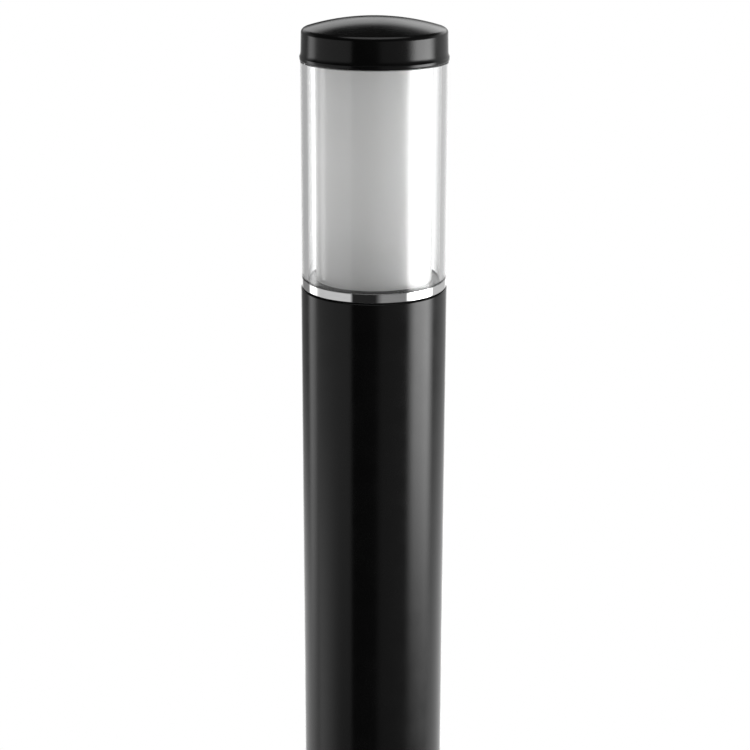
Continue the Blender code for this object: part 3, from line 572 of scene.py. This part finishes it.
def build_post():
    screws = {**BASE_SCREWS, **HEAD_SCREWS}
    levels = sorted({round(middle(name).z, 5) for name in screws})
    outer = [(POST_RADIUS - 0.0004, POST_BOTTOM), (POST_RADIUS, POST_BOTTOM + 0.0004)]
    inner = [(POST_BORE, RIM - 0.0002)]
    for z in levels:
        outer += [(POST_RADIUS, z - HOLD), (POST_RADIUS, z + HOLD)]
    for z in reversed(levels):
        inner += [(POST_BORE, z + HOLD), (POST_BORE, z - HOLD)]
    lip = 0.0008
    hold = (POST_RADIUS, RIM - 2 * lip)
    rim = [hold, *arc((POST_RADIUS - lip, RIM - lip), lip, 0, 90, 8)]
    profile = [(POST_BORE, POST_BOTTOM), *outer, *rim, (POST_BORE + 0.0002, RIM), *inner]
    bits = []
    for name, azimuth in screws.items():
        start, direction = outward(azimuth, POST_RADIUS + OVER, middle(name).z)
        bits.append(drill_bit(start, -direction, SET_SCREW_RADIUS + GAP, 0.008))
    mesh = carved(turned("post_tube_finished", profile), bits)
    show("post_tube_finished", mesh, "post", "black_coat", "post_tube")
    build_set_screws(screws)


def build_set_screws(screws):
    """Hexagon-socket set screws, each in its hole through the post's wall."""
    outline = [
        (0, -SET_SCREW_LENGTH),
        (SET_SCREW_RADIUS, -SET_SCREW_LENGTH),
        (SET_SCREW_RADIUS, 0),
        (0, 0),
    ]
    body = eased(outline, 0.0003)
    for name, azimuth in screws.items():
        socket = hex_prism(SOCKET_APOTHEM, 0.0030)
        moved(socket, Matrix.Translation((0, 0, -SOCKET_DEPTH)))
        mesh = carved(turned(name, body, FINE), [socket])
        seat, direction = outward(azimuth, POST_BORE + SET_SCREW_LENGTH, middle(name).z)
        show(f"{name}_finished", mesh, "post", "zinc_steel", name, matrix=pointing(seat, direction))


def hex_prism(apothem, height):
    """Hexagonal prism from z = 0, with one flat facing +X."""
    corner = apothem / math.cos(math.pi / 6)
    angles = [math.pi / 6 * (2 * i - 1) for i in range(6)]
    outline = [(corner * math.cos(a), corner * math.sin(a), 0) for a in angles]
    return finished(drawn(outline, (0, 0, height)), "hexagon")


def build_flange():
    top = FLANGE_BOTTOM + FLANGE_THICKNESS
    profile = [
        (CABLE_HOLE_RADIUS, FLANGE_BOTTOM),
        (FLANGE_RADIUS, FLANGE_BOTTOM),
        (FLANGE_RADIUS, top),
        (SPIGOT_RADIUS, top),
        (SPIGOT_RADIUS, SPIGOT_TOP),
        (SPIGOT_BORE, SPIGOT_TOP),
        (SPIGOT_BORE, top),
        (CABLE_HOLE_RADIUS, top),
    ]
    bits = []
    for i in range(4):
        start, _ = outward(45 + 90 * i, FLANGE_HOLE_CIRCLE / 2, top)
        bits.append(drill_bit(start, (0, 0, -1), FLANGE_HOLE_RADIUS, 0.012, 0.0007))
    mesh = carved(turned("base_flange_finished", eased(profile, 0.0012, 4)), bits)
    show("base_flange_finished", mesh, "post", "black_coat", "base_flange")


# ---- Head -----------------------------------------------

BOSS_RADIUS = 0.006
TUBE_ROUND = 512  # sides of the tubes, whose edges show light bending


def build_head_base():
    profile = [
        (ROD_RADIUS + FIT, DECK_BOTTOM),
        (SPIGOT_BORE, DECK_BOTTOM),
        (SPIGOT_BORE, HEAD_SPIGOT_BOTTOM),
        (SPIGOT_RADIUS, HEAD_SPIGOT_BOTTOM),
        (SPIGOT_RADIUS, RING_BOTTOM),
        (SHOULDER_RADIUS, RING_BOTTOM),
        (SHOULDER_RADIUS, LEDGE_TOP),
        (DECK_RADIUS, LEDGE_TOP),
        (DECK_RADIUS, DECK_TOP),
        (ROD_RADIUS + FIT, DECK_TOP),
    ]
    boss_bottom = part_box("gear_tray")[1][2] + GAP
    bosses = []
    bits = [drill_bit((0, LEAD_Y, DECK_TOP + OVER), (0, 0, -1), GROMMET_HOLE, 0.010)]
    for name in ("tray_screw_1", "tray_screw_2"):
        x, y, _ = middle(name)
        height = DECK_BOTTOM + OVER - boss_bottom
        outline = [(0, 0), (BOSS_RADIUS, 0), (BOSS_RADIUS, height), (0, height)]
        shape = turned("boss", outline, FINE)
        bosses.append(moved(shape, Matrix.Translation((x, y, boss_bottom))))
        bits.append(drill_bit((x, y, boss_bottom - OVER), (0, 0, 1), M4_HOLE, 0.011))
    mesh = turned("head_base_finished", eased(profile, 0.0005))
    mesh = carved(carved(mesh, bosses, "UNION"), bits)
    show("head_base_finished", mesh, "head", "black_coat", "head_base")


def build_round_trim():
    """Gaskets and the polished ring, each with its edges eased."""
    for name, inner, finish, body in (
        ("rim_gasket", POST_BORE + GAP, "rubber", "head"),
        ("tube_gasket", TUBE_BORE, "rubber", "head"),
        ("cap_gasket", TUBE_BORE + FIT, "rubber", "cap_seal"),
        ("trim_ring", RING_BORE, "polished_steel", "head"),
        ("diffuser_locator", ROD_RADIUS + FIT, "white_plastic", "head"),
        ("column_cap", ROD_RADIUS + FIT, "white_plastic", "head"),
        ("rod_washer", ROD_RADIUS + GAP, "zinc_steel", "head"),
        ("column_washer", ROD_RADIUS + GAP, "zinc_steel", "head"),
    ):
        outer, bottom, top = extent(name)
        ease = 0.0002 if finish in ("rubber", "polished_steel") else 0.0004
        profile = eased([(inner, bottom), (outer, bottom), (outer, top), (inner, top)], ease)
        mesh = turned(f"{name}_finished", profile)
        if name == "diffuser_locator":
            mesh = carved(mesh, [drill_bit((0, LEAD_Y, bottom - OVER), (0, 0, 1), LEAD_HOLE, 0.01)])
        show(f"{name}_finished", mesh, body, finish, name)


def build_tubes():
    profile = [
        (TUBE_BORE, TUBE_BOTTOM),
        (TUBE_REBATE, TUBE_BOTTOM),
        (TUBE_REBATE, RING_TOP + GAP),
        (TUBE_RADIUS, RING_TOP + GAP),
        (TUBE_RADIUS, CAP_BOTTOM - GAP),
        (TUBE_REBATE, CAP_BOTTOM - GAP),
        (TUBE_REBATE, TUBE_TOP),
        (TUBE_BORE, TUBE_TOP),
    ]
    mesh = turned("clear_tube_finished", eased(profile, 0.0002, 2), TUBE_ROUND)
    show("clear_tube_finished", mesh, "tube", "clear_acrylic", "clear_tube")
    profile = [
        (OPAL_BORE, OPAL_BOTTOM),
        (OPAL_RADIUS, OPAL_BOTTOM),
        (OPAL_RADIUS, OPAL_TOP),
        (OPAL_BORE, OPAL_TOP),
    ]
    mesh = turned("opal_diffuser_finished", eased(profile, 0.0003), TUBE_ROUND)
    show("opal_diffuser_finished", mesh, "opal", "opal_acrylic", "opal_diffuser")


def cap_outline():
    """Outside of the cap from its lower edge to the apex."""
    edge = (CAP_RADIUS - CAP_LIP_FILLET, CAP_BOTTOM + CAP_LIP_FILLET)
    outline = arc(edge, CAP_LIP_FILLET, -90, 0, 8)
    lip = 0.0003
    outline += arc((CAP_RADIUS - lip, LIP_TOP - lip), lip, 0, 60, 3)
    steps = 12
    for i in range(1, steps + 1):  # hollow flare from the lip into the body
        t = i / steps
        r = CAP_BODY_RADIUS + (CAP_RADIUS - lip / 2 - CAP_BODY_RADIUS) * (1 - t) ** 2
        outline.append((r, LIP_TOP + (BODY_BOTTOM - LIP_TOP) * t))
    corner = (CAP_SHOULDER_RADIUS - CAP_SHOULDER_FILLET, BODY_TOP)
    dome_start = 90 - math.degrees(DOME_EDGE_ANGLE)
    outline += arc(corner, CAP_SHOULDER_FILLET, 0, dome_start, 16)
    edge_radius, edge_height = outline[-1]
    sphere = edge_radius / math.sin(DOME_EDGE_ANGLE)
    centre = (0, edge_height - sphere * math.cos(DOME_EDGE_ANGLE))
    outline += arc(centre, sphere, dome_start, 90, 32)[1:-1]
    outline.append((0, centre[1] + sphere))
    return outline


def build_cap():
    seat = CAP_SEAL_TOP + GAP
    inside = [
        (0, CAP_BOSS_BORE_TOP),
        (ROD_RADIUS + FIT, CAP_BOSS_BORE_TOP),
        (ROD_RADIUS + FIT, CAP_BOSS_BOTTOM),
        (CAP_BOSS_RADIUS, CAP_BOSS_BOTTOM),
        (CAP_BOSS_RADIUS, CAP_CEILING + CEILING_SLOPE),
        (CAP_CAVITY_RADIUS - CEILING_CHAMFER, CAP_CEILING),
        (CAP_CAVITY_RADIUS, CAP_CEILING - CEILING_CHAMFER),
        (CAP_CAVITY_RADIUS, seat),
        (SEAL_RADIUS + FIT, seat),
        (SEAL_RADIUS + FIT, CAP_BOTTOM),
    ]
    mesh = turned("cap_finished", inside + cap_outline())
    show("cap_finished", mesh, "cap", "black_coat", "cap")


# ---- Fasteners ------------------------------------------

THREAD_DEPTH = 0.6  # share of the pitch
NUT_CHAMFER = 0.0008
CROSS_WIDTH = 0.20  # of the head's diameter
CROSS_LENGTH = 0.62
CROSS_DEPTH = 0.55  # of the head's height
CROSS_TAPER = 0.55
HEAD_RIM = 0.35  # share of a head's height below its crown
ROD_PITCH = 0.00125
# Shank radius, head radius, head height and pitch
M4 = (0.002, 0.004, 0.0026, 0.0007)
M3 = (0.0015, 0.0028, 0.0018, 0.0005)
SLIM_M3 = (0.0015, 0.0024, 0.0018, 0.0005)


def threaded(radius, start, end, pitch):
    """Profile points of a thread from one height to another, crest to root."""
    turns = max(1, round(abs(end - start) / pitch))
    step = (end - start) / turns
    root = radius - THREAD_DEPTH * pitch
    points = []
    for i in range(turns):
        low = start + i * step
        points += [(root, low), (radius, low + 0.45 * step), (radius, low + 0.55 * step)]
    return [*points, (root, end)]


def build_rod():
    """Tie rod, threaded where its nuts and the cap screw on."""
    shank = ROD_RADIUS - 0.0002
    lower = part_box("rod_nut")[1][2] + 0.004
    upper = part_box("column_cap")[0][2] - 0.004
    tip = 0.0008
    profile = [
        (0, ROD_BOTTOM),
        (ROD_RADIUS - 2 * tip, ROD_BOTTOM),
        *threaded(ROD_RADIUS, ROD_BOTTOM + tip, lower, ROD_PITCH),
        (shank, lower),
        (shank, upper),
        *threaded(ROD_RADIUS, upper, ROD_TOP - tip, ROD_PITCH),
        (ROD_RADIUS - 2 * tip, ROD_TOP),
        (0, ROD_TOP),
    ]
    mesh = turned("tie_rod_finished", profile, FINE)
    show("tie_rod_finished", mesh, "head", "zinc_steel", "tie_rod")


def build_nuts():
    """Hexagon nuts with turned corners and countersunk threads."""
    for name in ("rod_nut", "column_nut"):
        low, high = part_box(name)
        apothem = high[0]
        height = high[2] - low[2]
        corner = apothem / math.cos(math.pi / 6)
        face = apothem - 0.0001
        flare = (corner - face) * math.tan(math.radians(30))
        rise = flare * 1.5
        blank = [
            (0, 0),
            (face, 0),
            (corner + OVER, rise),
            (corner + OVER, height - rise),
            (face, height),
            (0, height),
        ]
        mesh = carved(hex_prism(apothem, height), [turned("blank", blank, FINE)], "INTERSECT")
        bits = [drill_bit((0, 0, -OVER), (0, 0, 1), ROD_RADIUS + GAP, height + 2 * OVER)]
        for z, way in ((0, 1), (height, -1)):
            bits.append(drill_bit((0, 0, z), (0, 0, way), ROD_RADIUS + GAP, 0.001, NUT_CHAMFER))
        place = Matrix.Translation((0, 0, low[2]))
        show(f"{name}_finished", carved(mesh, bits), "head", "zinc_steel", name, matrix=place)


def cross_bit(radius, depth):
    """Cutter for a cross recess, from the head's top down."""
    half = radius * CROSS_WIDTH
    reach = radius * CROSS_LENGTH * 1.4
    bm = bmesh.new()
    outline = []
    for k in range(4):
        turn = Matrix.Rotation(math.tau * k / 4, 2)
        arm = ((reach, -half), (reach, half), (half, half))
        outline += [tuple(turn @ Vector(point)) for point in arm]
    upper = [bm.verts.new((x, y, OVER)) for x, y in outline]
    lower = [bm.verts.new((x * CROSS_TAPER, y * CROSS_TAPER, -depth)) for x, y in outline]
    bm.faces.new(upper)
    bm.faces.new(list(reversed(lower)))
    for i in range(len(outline)):
        bm.faces.new((upper[i - 1], lower[i - 1], lower[i], upper[i]))
    return finished(bm, "cross")


def pan_screw(radius, length, head_radius, head_height, pitch):
    """Cross-recessed pan-head screw: the head stands on z = 0 and its shank points down."""
    head = [(head_radius - 0.0001, 0), (head_radius, 0.0001), (head_radius, head_height * HEAD_RIM)]
    crown = []
    for degrees in range(10, 90, 10):
        a = math.radians(degrees)
        rise = HEAD_RIM + (1 - HEAD_RIM) * math.sin(a)
        crown.append((head_radius * math.cos(a), head_height * rise))
    profile = [
        (0, -length),
        (radius * 0.6, -length),
        *threaded(radius, -length + 0.0004, -0.0004, pitch),
        (radius * 0.85, 0),
        *head,
        *crown,
        (0, head_height),
    ]
    mesh = turned("pan_screw", profile, 40)
    recess = cross_bit(head_radius, head_height * CROSS_DEPTH)
    recess.transform(Matrix.Translation((0, 0, head_height)))
    return carved(mesh, [recess])


def half_length(node, towards):
    """Half a CAD node's length along an axis."""
    low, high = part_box(node)
    return sum(abs(towards[k]) * (high[k] - low[k]) / 2 for k in range(3))


def build_screws():
    """All pan-head screws, sized from their CAD boxes."""
    screws = [(f"tray_screw_{i}", (0, 0, -1), M4) for i in (1, 2)]
    screws += [(f"driver_screw_{i}", (0, -1, 0), M4) for i in (1, 2)]
    screws += [(f"clamp_screw_{i}", (0, -1, 0), M4) for i in (1, 2)]
    screws += [("earth_screw", (0, -1, 0), M4)]
    screws += [(f"terminal_screw_{i}", (0, -1, 0), SLIM_M3) for i in (1, 2)]
    for i in range(4):
        a = math.tau * i / 4
        way = (round(math.cos(a)), round(math.sin(a)), 0)
        screws += [(f"board_screw_{i + 1}{end}", way, M3) for end in "ab"]
    made = {}
    for name, way, (radius, head_radius, head_height, pitch) in screws:
        reach = half_length(name, way)
        length = round(2 * reach - head_height, 5)
        key = (radius, length, head_radius)
        if key not in made:
            made[key] = pan_screw(radius, length, head_radius, head_height, pitch)
        seat = middle(name) + Vector(way) * (reach - head_height)
        show(f"{name}_finished", made[key], "head", "zinc_steel", name, matrix=pointing(seat, way))


# ---- Lamp -----------------------------------------------

LED_COUNT = 9
FIRST_LED = RIM + 0.030
LED_PITCH = 0.0145
LED_WIDTH = 0.0035
LED_HEIGHT = 0.0009
LED_WINDOW = 0.78  # share of the package's half width
LED_FOOT = 0.0005  # how far its soldered ends stand out
LED_FOOT_HALF = 0.0011
PAD_HALF = (0.0012, 0.0016)
PAD_Y = 0.006
PAD_LOW = 0.0115
PAD_HIGH = 0.0105
SUNK = 0.0002  # how deep what stands on the board goes into it
BOARD_THICKNESS = 0.0016
COLUMN_BORE = 0.016
COLUMN_ROUND = 0.0015


def block(bm, low, high, slot=0, ease=0.0):
    """Adds a box to a bmesh, with its edges eased, in one material slot."""
    low, high = Vector(low), Vector(high)
    made = bmesh.ops.create_cube(bm, size=1.0)
    bmesh.ops.scale(bm, vec=high - low, verts=made["verts"])
    bmesh.ops.translate(bm, vec=(low + high) / 2, verts=made["verts"])
    faces = {face for vert in made["verts"] for face in vert.link_faces}
    for face in faces:
        face.material_index = slot
    if ease:
        edges = list({edge for vert in made["verts"] for edge in vert.link_edges})
        bmesh.ops.bevel(
            bm, geom=edges, offset=ease, segments=2, affect="EDGES", profile=0.5, material=-1
        )


def disc(bm, centre, radius, slot):
    """Adds a flat disc that faces +X to a bmesh, in one material slot."""
    place = pointing(centre, (1, 0, 0))
    made = bmesh.ops.create_circle(bm, cap_ends=True, segments=24, radius=radius, matrix=place)
    for face in made["verts"][0].link_faces:
        face.material_index = slot


def build_boards():
    """Boards with LED packages, each a white body, a phosphor window and two soldered ends."""
    low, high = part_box("led_board_1")
    back = low[0]
    front = back + BOARD_THICKNESS
    half = high[1]
    bm = bmesh.new()
    block(bm, (back, -half, low[2]), (front, half, high[2]), 0, 0.0003)
    half_led = LED_WIDTH / 2
    lid = front + LED_HEIGHT - 0.00005
    for i in range(LED_COUNT):
        z = FIRST_LED + i * LED_PITCH
        ends = (z - half_led, z + half_led)
        block(bm, (front - SUNK, -half_led, ends[0]), (lid, half_led, ends[1]), 1, 0.00015)
        disc(bm, (front + LED_HEIGHT - 0.00003, 0, z), half_led * LED_WINDOW, 2)
        for side in (-1, 1):
            foot = sorted((side * half_led * 0.9, side * (half_led + LED_FOOT)))
            start = (front - SUNK, foot[0], z - LED_FOOT_HALF)
            block(bm, start, (front + 0.0003, foot[1], z + LED_FOOT_HALF), 3, 0.0001)
    wide, tall = PAD_HALF
    for z in (low[2] + PAD_LOW, high[2] - PAD_HIGH):
        for y in (-PAD_Y, PAD_Y):
            start = (front - SUNK, y - wide, z - tall)
            block(bm, start, (front + 0.0001, y + wide, z + tall), 3, 0.00004)
    mesh = finished(bm, "led_board_finished")
    for name in ("led_board", "white_plastic", "phosphor", "solder"):
        mesh.materials.append(MATERIALS[name])
    for i in range(4):
        name = f"led_board_{i + 1}"
        turn = Matrix.Rotation(math.tau * i / 4, 4, "Z")
        show(f"{name}_finished", mesh, "head", "led_board", name, matrix=turn)


def build_column():
    """Extruded column, its corners rounded and its flats grooved beside the boards."""
    low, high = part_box("led_column")
    half = high[0]
    groove = 0.0008
    side = [
        (-half + COLUMN_ROUND, 0),
        (-half + 0.0021, groove),
        (-half + 0.0035, groove),
        (-half + 0.0041, 0),
    ]
    side += [(-along, inward) for along, inward in reversed(side)]
    outline = []
    for k in range(4):
        turn = Matrix.Rotation(math.tau * k / 4, 2)
        outline += [tuple(turn @ Vector((half - inward, along))) for along, inward in side]
        corner = arc((half - COLUMN_ROUND, half - COLUMN_ROUND), COLUMN_ROUND, 15, 75, 2)
        outline += [tuple(turn @ Vector(point)) for point in corner]
    height = high[2] - low[2]
    bm = drawn([(x, y, low[2]) for x, y in outline], (0, 0, height))
    bore = drill_bit((0, 0, low[2] - OVER), (0, 0, 1), COLUMN_BORE, height + 2 * OVER)
    mesh = carved(finished(bm, "led_column_finished"), [bore])
    show("led_column_finished", mesh, "head", "aluminium", "led_column")


def build_grommet():
    """Grommet that the LED lead passes the deck in."""
    low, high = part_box("lead_grommet")
    outer = (high[0] - low[0]) / 2
    neck = GROMMET_HOLE - GAP
    bore = 0.0023
    flange = 0.0013
    profile = [
        (bore, low[2]),
        (outer, low[2]),
        (outer, low[2] + flange),
        (neck, low[2] + flange),
        (neck, high[2] - flange),
        (outer, high[2] - flange),
        (outer, high[2]),
        (bore, high[2]),
    ]
    mesh = turned("lead_grommet_finished", eased(profile, 0.0004), FINE)
    place = Matrix.Translation((middle("lead_grommet").x, LEAD_Y, 0))
    show("lead_grommet_finished", mesh, "head", "rubber", "lead_grommet", matrix=place)


# ---- Control gear ---------------------------------------


def softened(piece, width, segments=2):
    """Rounds every sharp edge of a piece."""
    step = piece.modifiers.new("soft_edges", "BEVEL")
    step.width = width
    step.segments = segments
    step.limit_method = "ANGLE"
    step.angle_limit = math.radians(40)
    step.harden_normals = True
    return piece


def bent(points, radius, steps=6):
    """Outline whose listed corners are rounded; each point is (y, z, radius share)."""
    result = []
    count = len(points)
    for i, (y, z, share) in enumerate(points):
        corner = Vector((y, z))
        if not share:
            result.append((y, z))
            continue
        before = Vector(points[i - 1][:2]) - corner
        after = Vector(points[(i + 1) % count][:2]) - corner
        start = corner + before.normalized() * radius * share
        end = corner + after.normalized() * radius * share
        for j in range(steps + 1):
            t = j / steps
            result.append(tuple(start * (1 - t) ** 2 + corner * (2 * t * (1 - t)) + end * t**2))
    return result


TRAY_THICKNESS = 0.002


def build_tray():
    """Folded sheet with a rounded bend, a lead hole and its screw holes."""
    low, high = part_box("gear_tray")
    back = high[1]
    plate = back - TRAY_THICKNESS
    under = high[2] - TRAY_THICKNESS
    outline = bent(
        [
            (low[1], high[2], 0),
            (back, high[2], 1.7),
            (back, low[2], 0),
            (plate, low[2], 0),
            (plate, under, 0.7),
            (low[1], under, 0),
        ],
        0.0015,
    )
    bm = drawn([(low[0], y, z) for y, z in outline], (high[0] - low[0], 0, 0))
    bits = [drill_bit((0, LEAD_Y, under - OVER), (0, 0, 1), LEAD_HOLE, 0.005)]
    for name in ("driver_screw_1", "driver_screw_2", "clamp_screw_1", "clamp_screw_2", "earth_screw"):
        x, _, z = middle(name)
        bits.append(drill_bit((x, plate - OVER, z), (0, 1, 0), M4_HOLE, 0.004))
    for name in ("terminal_screw_1", "terminal_screw_2"):
        x, _, z = middle(name)
        bits.append(drill_bit((x, plate - OVER, z), (0, 1, 0), M3_HOLE, 0.004))
    for name in ("tray_screw_1", "tray_screw_2"):
        x, y, _ = middle(name)
        bits.append(drill_bit((x, y, under - OVER), (0, 0, 1), M4_HOLE, 0.004))
    mesh = carved(finished(bm, "gear_tray_finished"), bits)
    softened(show("gear_tray_finished", mesh, "head", "zinc_steel", "gear_tray"), 0.0002)


DRIVER_EAR_THICKNESS = 0.004
DRIVER_EAR_LENGTH = 0.010
DRIVER_SEAM = 0.011
DRIVER_PANEL_MARGINS = (0.006, 0.025)
DRIVER_ENTRY_X = 0.0065
DRIVER_ENTRY_HALF = 0.003


def build_driver():
    """Moulded driver: a base with ears, a lid with a seam round it, and a blank raised panel."""
    low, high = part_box("led_driver")
    back = high[1]
    front = low[1]
    ear = back - DRIVER_EAR_THICKNESS
    bottom = low[2] + DRIVER_EAR_LENGTH
    top = high[2] - DRIVER_EAR_LENGTH
    half = high[0]
    seam = back - DRIVER_SEAM
    step = 0.0004
    overlap = 0.002
    bm = bmesh.new()
    block(bm, (-half, seam, bottom), (half, back, top), 0, 0.0008)
    start = (-half + step, front + 0.0006, bottom + step)
    block(bm, start, (half - step, seam + 0.0010, top - step), 0, 0.0024)
    block(bm, (-half, ear, low[2]), (half, back, bottom + overlap), 0, 0.0006)
    block(bm, (-half, ear, top - overlap), (half, back, high[2]), 0, 0.0006)
    aside, above = DRIVER_PANEL_MARGINS
    start = (-half + aside, front, bottom + above)
    block(bm, start, (half - aside, front + 0.0012, top - above), 1, 0.0004)
    centre = (front + back) / 2
    for z, inner in ((bottom, bottom + 0.001), (top, top - 0.001)):
        for x in (-DRIVER_ENTRY_X, DRIVER_ENTRY_X):
            start = (x - DRIVER_ENTRY_HALF, centre - DRIVER_ENTRY_HALF, min(z, inner))
            end = (x + DRIVER_ENTRY_HALF, centre + DRIVER_ENTRY_HALF, max(z, inner))
            block(bm, start, end, 1, 0.0003)
    mesh = finished(bm, "led_driver_finished")
    for name in ("white_plastic", "grey_jacket"):
        mesh.materials.append(MATERIALS[name])
    show("led_driver_finished", mesh, "head", "white_plastic", "led_driver")


POLES = 5
RIB_HALF = 0.0007
WELL_DROPS = (0.006, 0.016)
WELL_RADIUS = 0.0025
WELL_SEAT = 0.0058
ENTRY_RADIUS = 0.0019
CLAMP_SCREW = (0.0020, 0.0011)  # radius and height of its head


def build_terminal():
    """Terminal block with ribs between its poles and a slotted clamp screw down each well."""
    low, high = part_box("terminal_block")
    width = high[0] - low[0]
    pitch = width / (POLES + 1)
    front = low[1]
    bm = bmesh.new()
    block(bm, (low[0], front + 0.0008, low[2]), (high[0], high[1], high[2]), 0, 0.0006)
    for i in range(POLES + 1):
        x = pitch * (i - POLES / 2)
        start = (x - RIB_HALF, front, low[2] + 0.0003)
        block(bm, start, (x + RIB_HALF, front + 0.003, high[2] - 0.0003), 0, 0.0003)
    mesh = finished(bm, "terminal_block_finished")
    bits = []
    seats = []
    for i in range(POLES):
        x = pitch * (i - (POLES - 1) / 2)
        for drop in WELL_DROPS:
            z = high[2] - drop
            bits.append(drill_bit((x, front - OVER, z), (0, 1, 0), WELL_RADIUS, 0.007))
            seats.append((x, front + WELL_SEAT, z))
        for z, way in ((high[2] + OVER, -1), (low[2] - OVER, 1)):
            start = (x, (front + high[1]) / 2, z)
            bits.append(drill_bit(start, (0, 0, way), ENTRY_RADIUS, 0.005))
    for name in ("terminal_screw_1", "terminal_screw_2"):
        x, _, z = middle(name)
        bits.append(drill_bit((x, front - OVER, z), (0, 1, 0), M3_HOLE, 0.030))
    mesh = carved(mesh, bits)
    mesh.materials.append(MATERIALS["grey_plastic"])
    show("terminal_block_finished", mesh, "head", "grey_plastic", "terminal_block")
    build_clamp_screws(seats)


def build_clamp_screws(seats):
    """Slotted heads of the terminal block's screws, joined in one piece."""
    slot_bit = bmesh.new()
    block(slot_bit, (-0.0025, -0.0003, 0.0006), (0.0025, 0.0003, 0.0020))
    radius, top = CLAMP_SCREW
    ease = 0.0002
    head = [(0, -0.001), (radius, -0.001), (radius, top - ease), (radius - ease, top), (0, top)]
    mesh = carved(turned("clamp_screws", head, 24), [finished(slot_bit, "slot")])
    bm = bmesh.new()
    for seat in seats:
        single = mesh.copy()
        single.transform(pointing(seat, (0, -1, 0)))
        bm.from_mesh(single)
        bpy.data.meshes.remove(single)
    mesh = finished(bm, "terminal_block_screws")
    show("terminal_block_screws", mesh, "head", "zinc_steel", "terminal_block")


CLAMP_EAR = 0.0025
CLAMP_BORE = 0.0060


def build_clamp():
    """Saddle over the supply cable's place."""
    low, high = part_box("cable_clamp")
    back = high[1]
    ear = back - CLAMP_EAR
    crown = back - low[1]
    lean = math.degrees(math.asin(CLAMP_EAR / crown))
    arch = arc((0, back), CLAMP_BORE, 180, 360, 24)
    over = arc((0, back), crown, 360 - lean, 180 + lean, 24)
    outline = [(low[0], back), *arch, (high[0], back), (high[0], ear), *over, (low[0], ear)]
    bm = drawn([(x, y, low[2]) for x, y in outline], (0, 0, high[2] - low[2]))
    bits = []
    for name in ("clamp_screw_1", "clamp_screw_2"):
        x, _, z = middle(name)
        bits.append(drill_bit((x, ear - OVER, z), (0, 1, 0), M4_HOLE, 0.005))
    mesh = carved(finished(bm, "cable_clamp_finished"), bits)
    softened(show("cable_clamp_finished", mesh, "head", "white_plastic", "cable_clamp"), 0.0004)


LATCH_HALF = 0.0018
WINDOW_X = 0.0034
WINDOW_HALF = 0.0008


def build_connector():
    """Plug that the LED lead ends in: a housing with a latch and two contact windows."""
    low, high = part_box("led_connector")
    x = high[0]
    depth = high[1] - low[1]
    bm = bmesh.new()
    block(bm, (-x, low[1] + 0.0006, low[2]), (x, high[1], high[2]), 0, 0.0004)
    start = (-LATCH_HALF, low[1], low[2] + 0.003)
    block(bm, start, (LATCH_HALF, low[1] + 0.0012, high[2] - 0.001), 0, 0.0003)
    mesh = finished(bm, "led_connector_finished")
    window = bmesh.new()
    for centre in (-WINDOW_X, WINDOW_X):
        start = (centre - WINDOW_HALF, low[1], high[2] - 0.0035)
        block(window, start, (centre + WINDOW_HALF, low[1] + depth * 0.4, high[2] - 0.0015))
    mesh = carved(mesh, [finished(window, "window")])
    mesh.materials.append(MATERIALS["white_plastic"])
    show("led_connector_finished", mesh, "head", "white_plastic", "led_connector")


TEETH = 16
TOOTH_ROOT = 0.86  # of the washer's radius


def build_earth():
    """Toothed washer under the earth screw."""
    x, _, z = middle("earth_washer")
    low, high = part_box("earth_washer")
    outer = (high[0] - low[0]) / 2
    thickness = high[1] - low[1]
    bm = bmesh.new()
    count = TEETH * 4
    rings = []
    for level in (0, thickness):
        inner = []
        rim = []
        for i in range(count):
            a = math.tau * i / count
            reach = outer if i % 4 < 2 else outer * TOOTH_ROOT
            rim.append(bm.verts.new((reach * math.cos(a), reach * math.sin(a), level)))
            inner.append(bm.verts.new((M4_HOLE * math.cos(a), M4_HOLE * math.sin(a), level)))
        rings.append((inner, rim))
    (low_in, low_out), (high_in, high_out) = rings
    for i in range(count):
        j = (i + 1) % count
        bm.faces.new((low_in[i], low_in[j], low_out[j], low_out[i]))
        bm.faces.new((high_in[i], high_out[i], high_out[j], high_in[j]))
        bm.faces.new((low_out[i], low_out[j], high_out[j], high_out[i]))
        bm.faces.new((low_in[i], high_in[i], high_in[j], low_in[j]))
    mesh = finished(bm, "earth_washer_finished", math.radians(20))
    place = pointing((x, high[1], z), (0, -1, 0))
    show("earth_washer_finished", mesh, "head", "zinc_steel", "earth_washer", matrix=place)


def build_leads():
    """Leads, smoothed from the routes of their CAD nodes."""
    for name, finish in (
        ("led_lead", "grey_jacket"),
        ("brown_lead", "brown_insulation"),
        ("blue_lead", "blue_insulation"),
    ):
        bm = bmesh.new()
        bm.from_mesh(frame["nodes"][name].data)
        mesh = finished(bm, f"{name}_finished", math.radians(60))
        mesh.materials.clear()
        piece = show(f"{name}_finished", mesh, "head", finish, name)
        step = piece.modifiers.new("smooth", "SUBSURF")
        step.levels = 1
        step.render_levels = 1


# ---- Assembly -------------------------------------------

MATERIALS = make_materials()


def finish_cad_nodes():
    """Gives the CAD nodes that stay their slot's material."""
    slots = {entry["node"]: entry["material_slot"] for entry in frame["record"]["subparts"]}
    for name, node in frame["nodes"].items():
        node.data.materials.clear()
        node.data.materials.append(MATERIALS[slots[name]])


def main():
    make_camera()
    make_studio()
    make_floor()
    finish_cad_nodes()
    build_post()
    build_flange()
    build_head_base()
    build_round_trim()
    build_tubes()
    build_cap()
    build_rod()
    build_nuts()
    build_screws()
    build_boards()
    build_column()
    build_grommet()
    build_tray()
    build_driver()
    build_terminal()
    build_clamp()
    build_connector()
    build_earth()
    build_leads()


main()
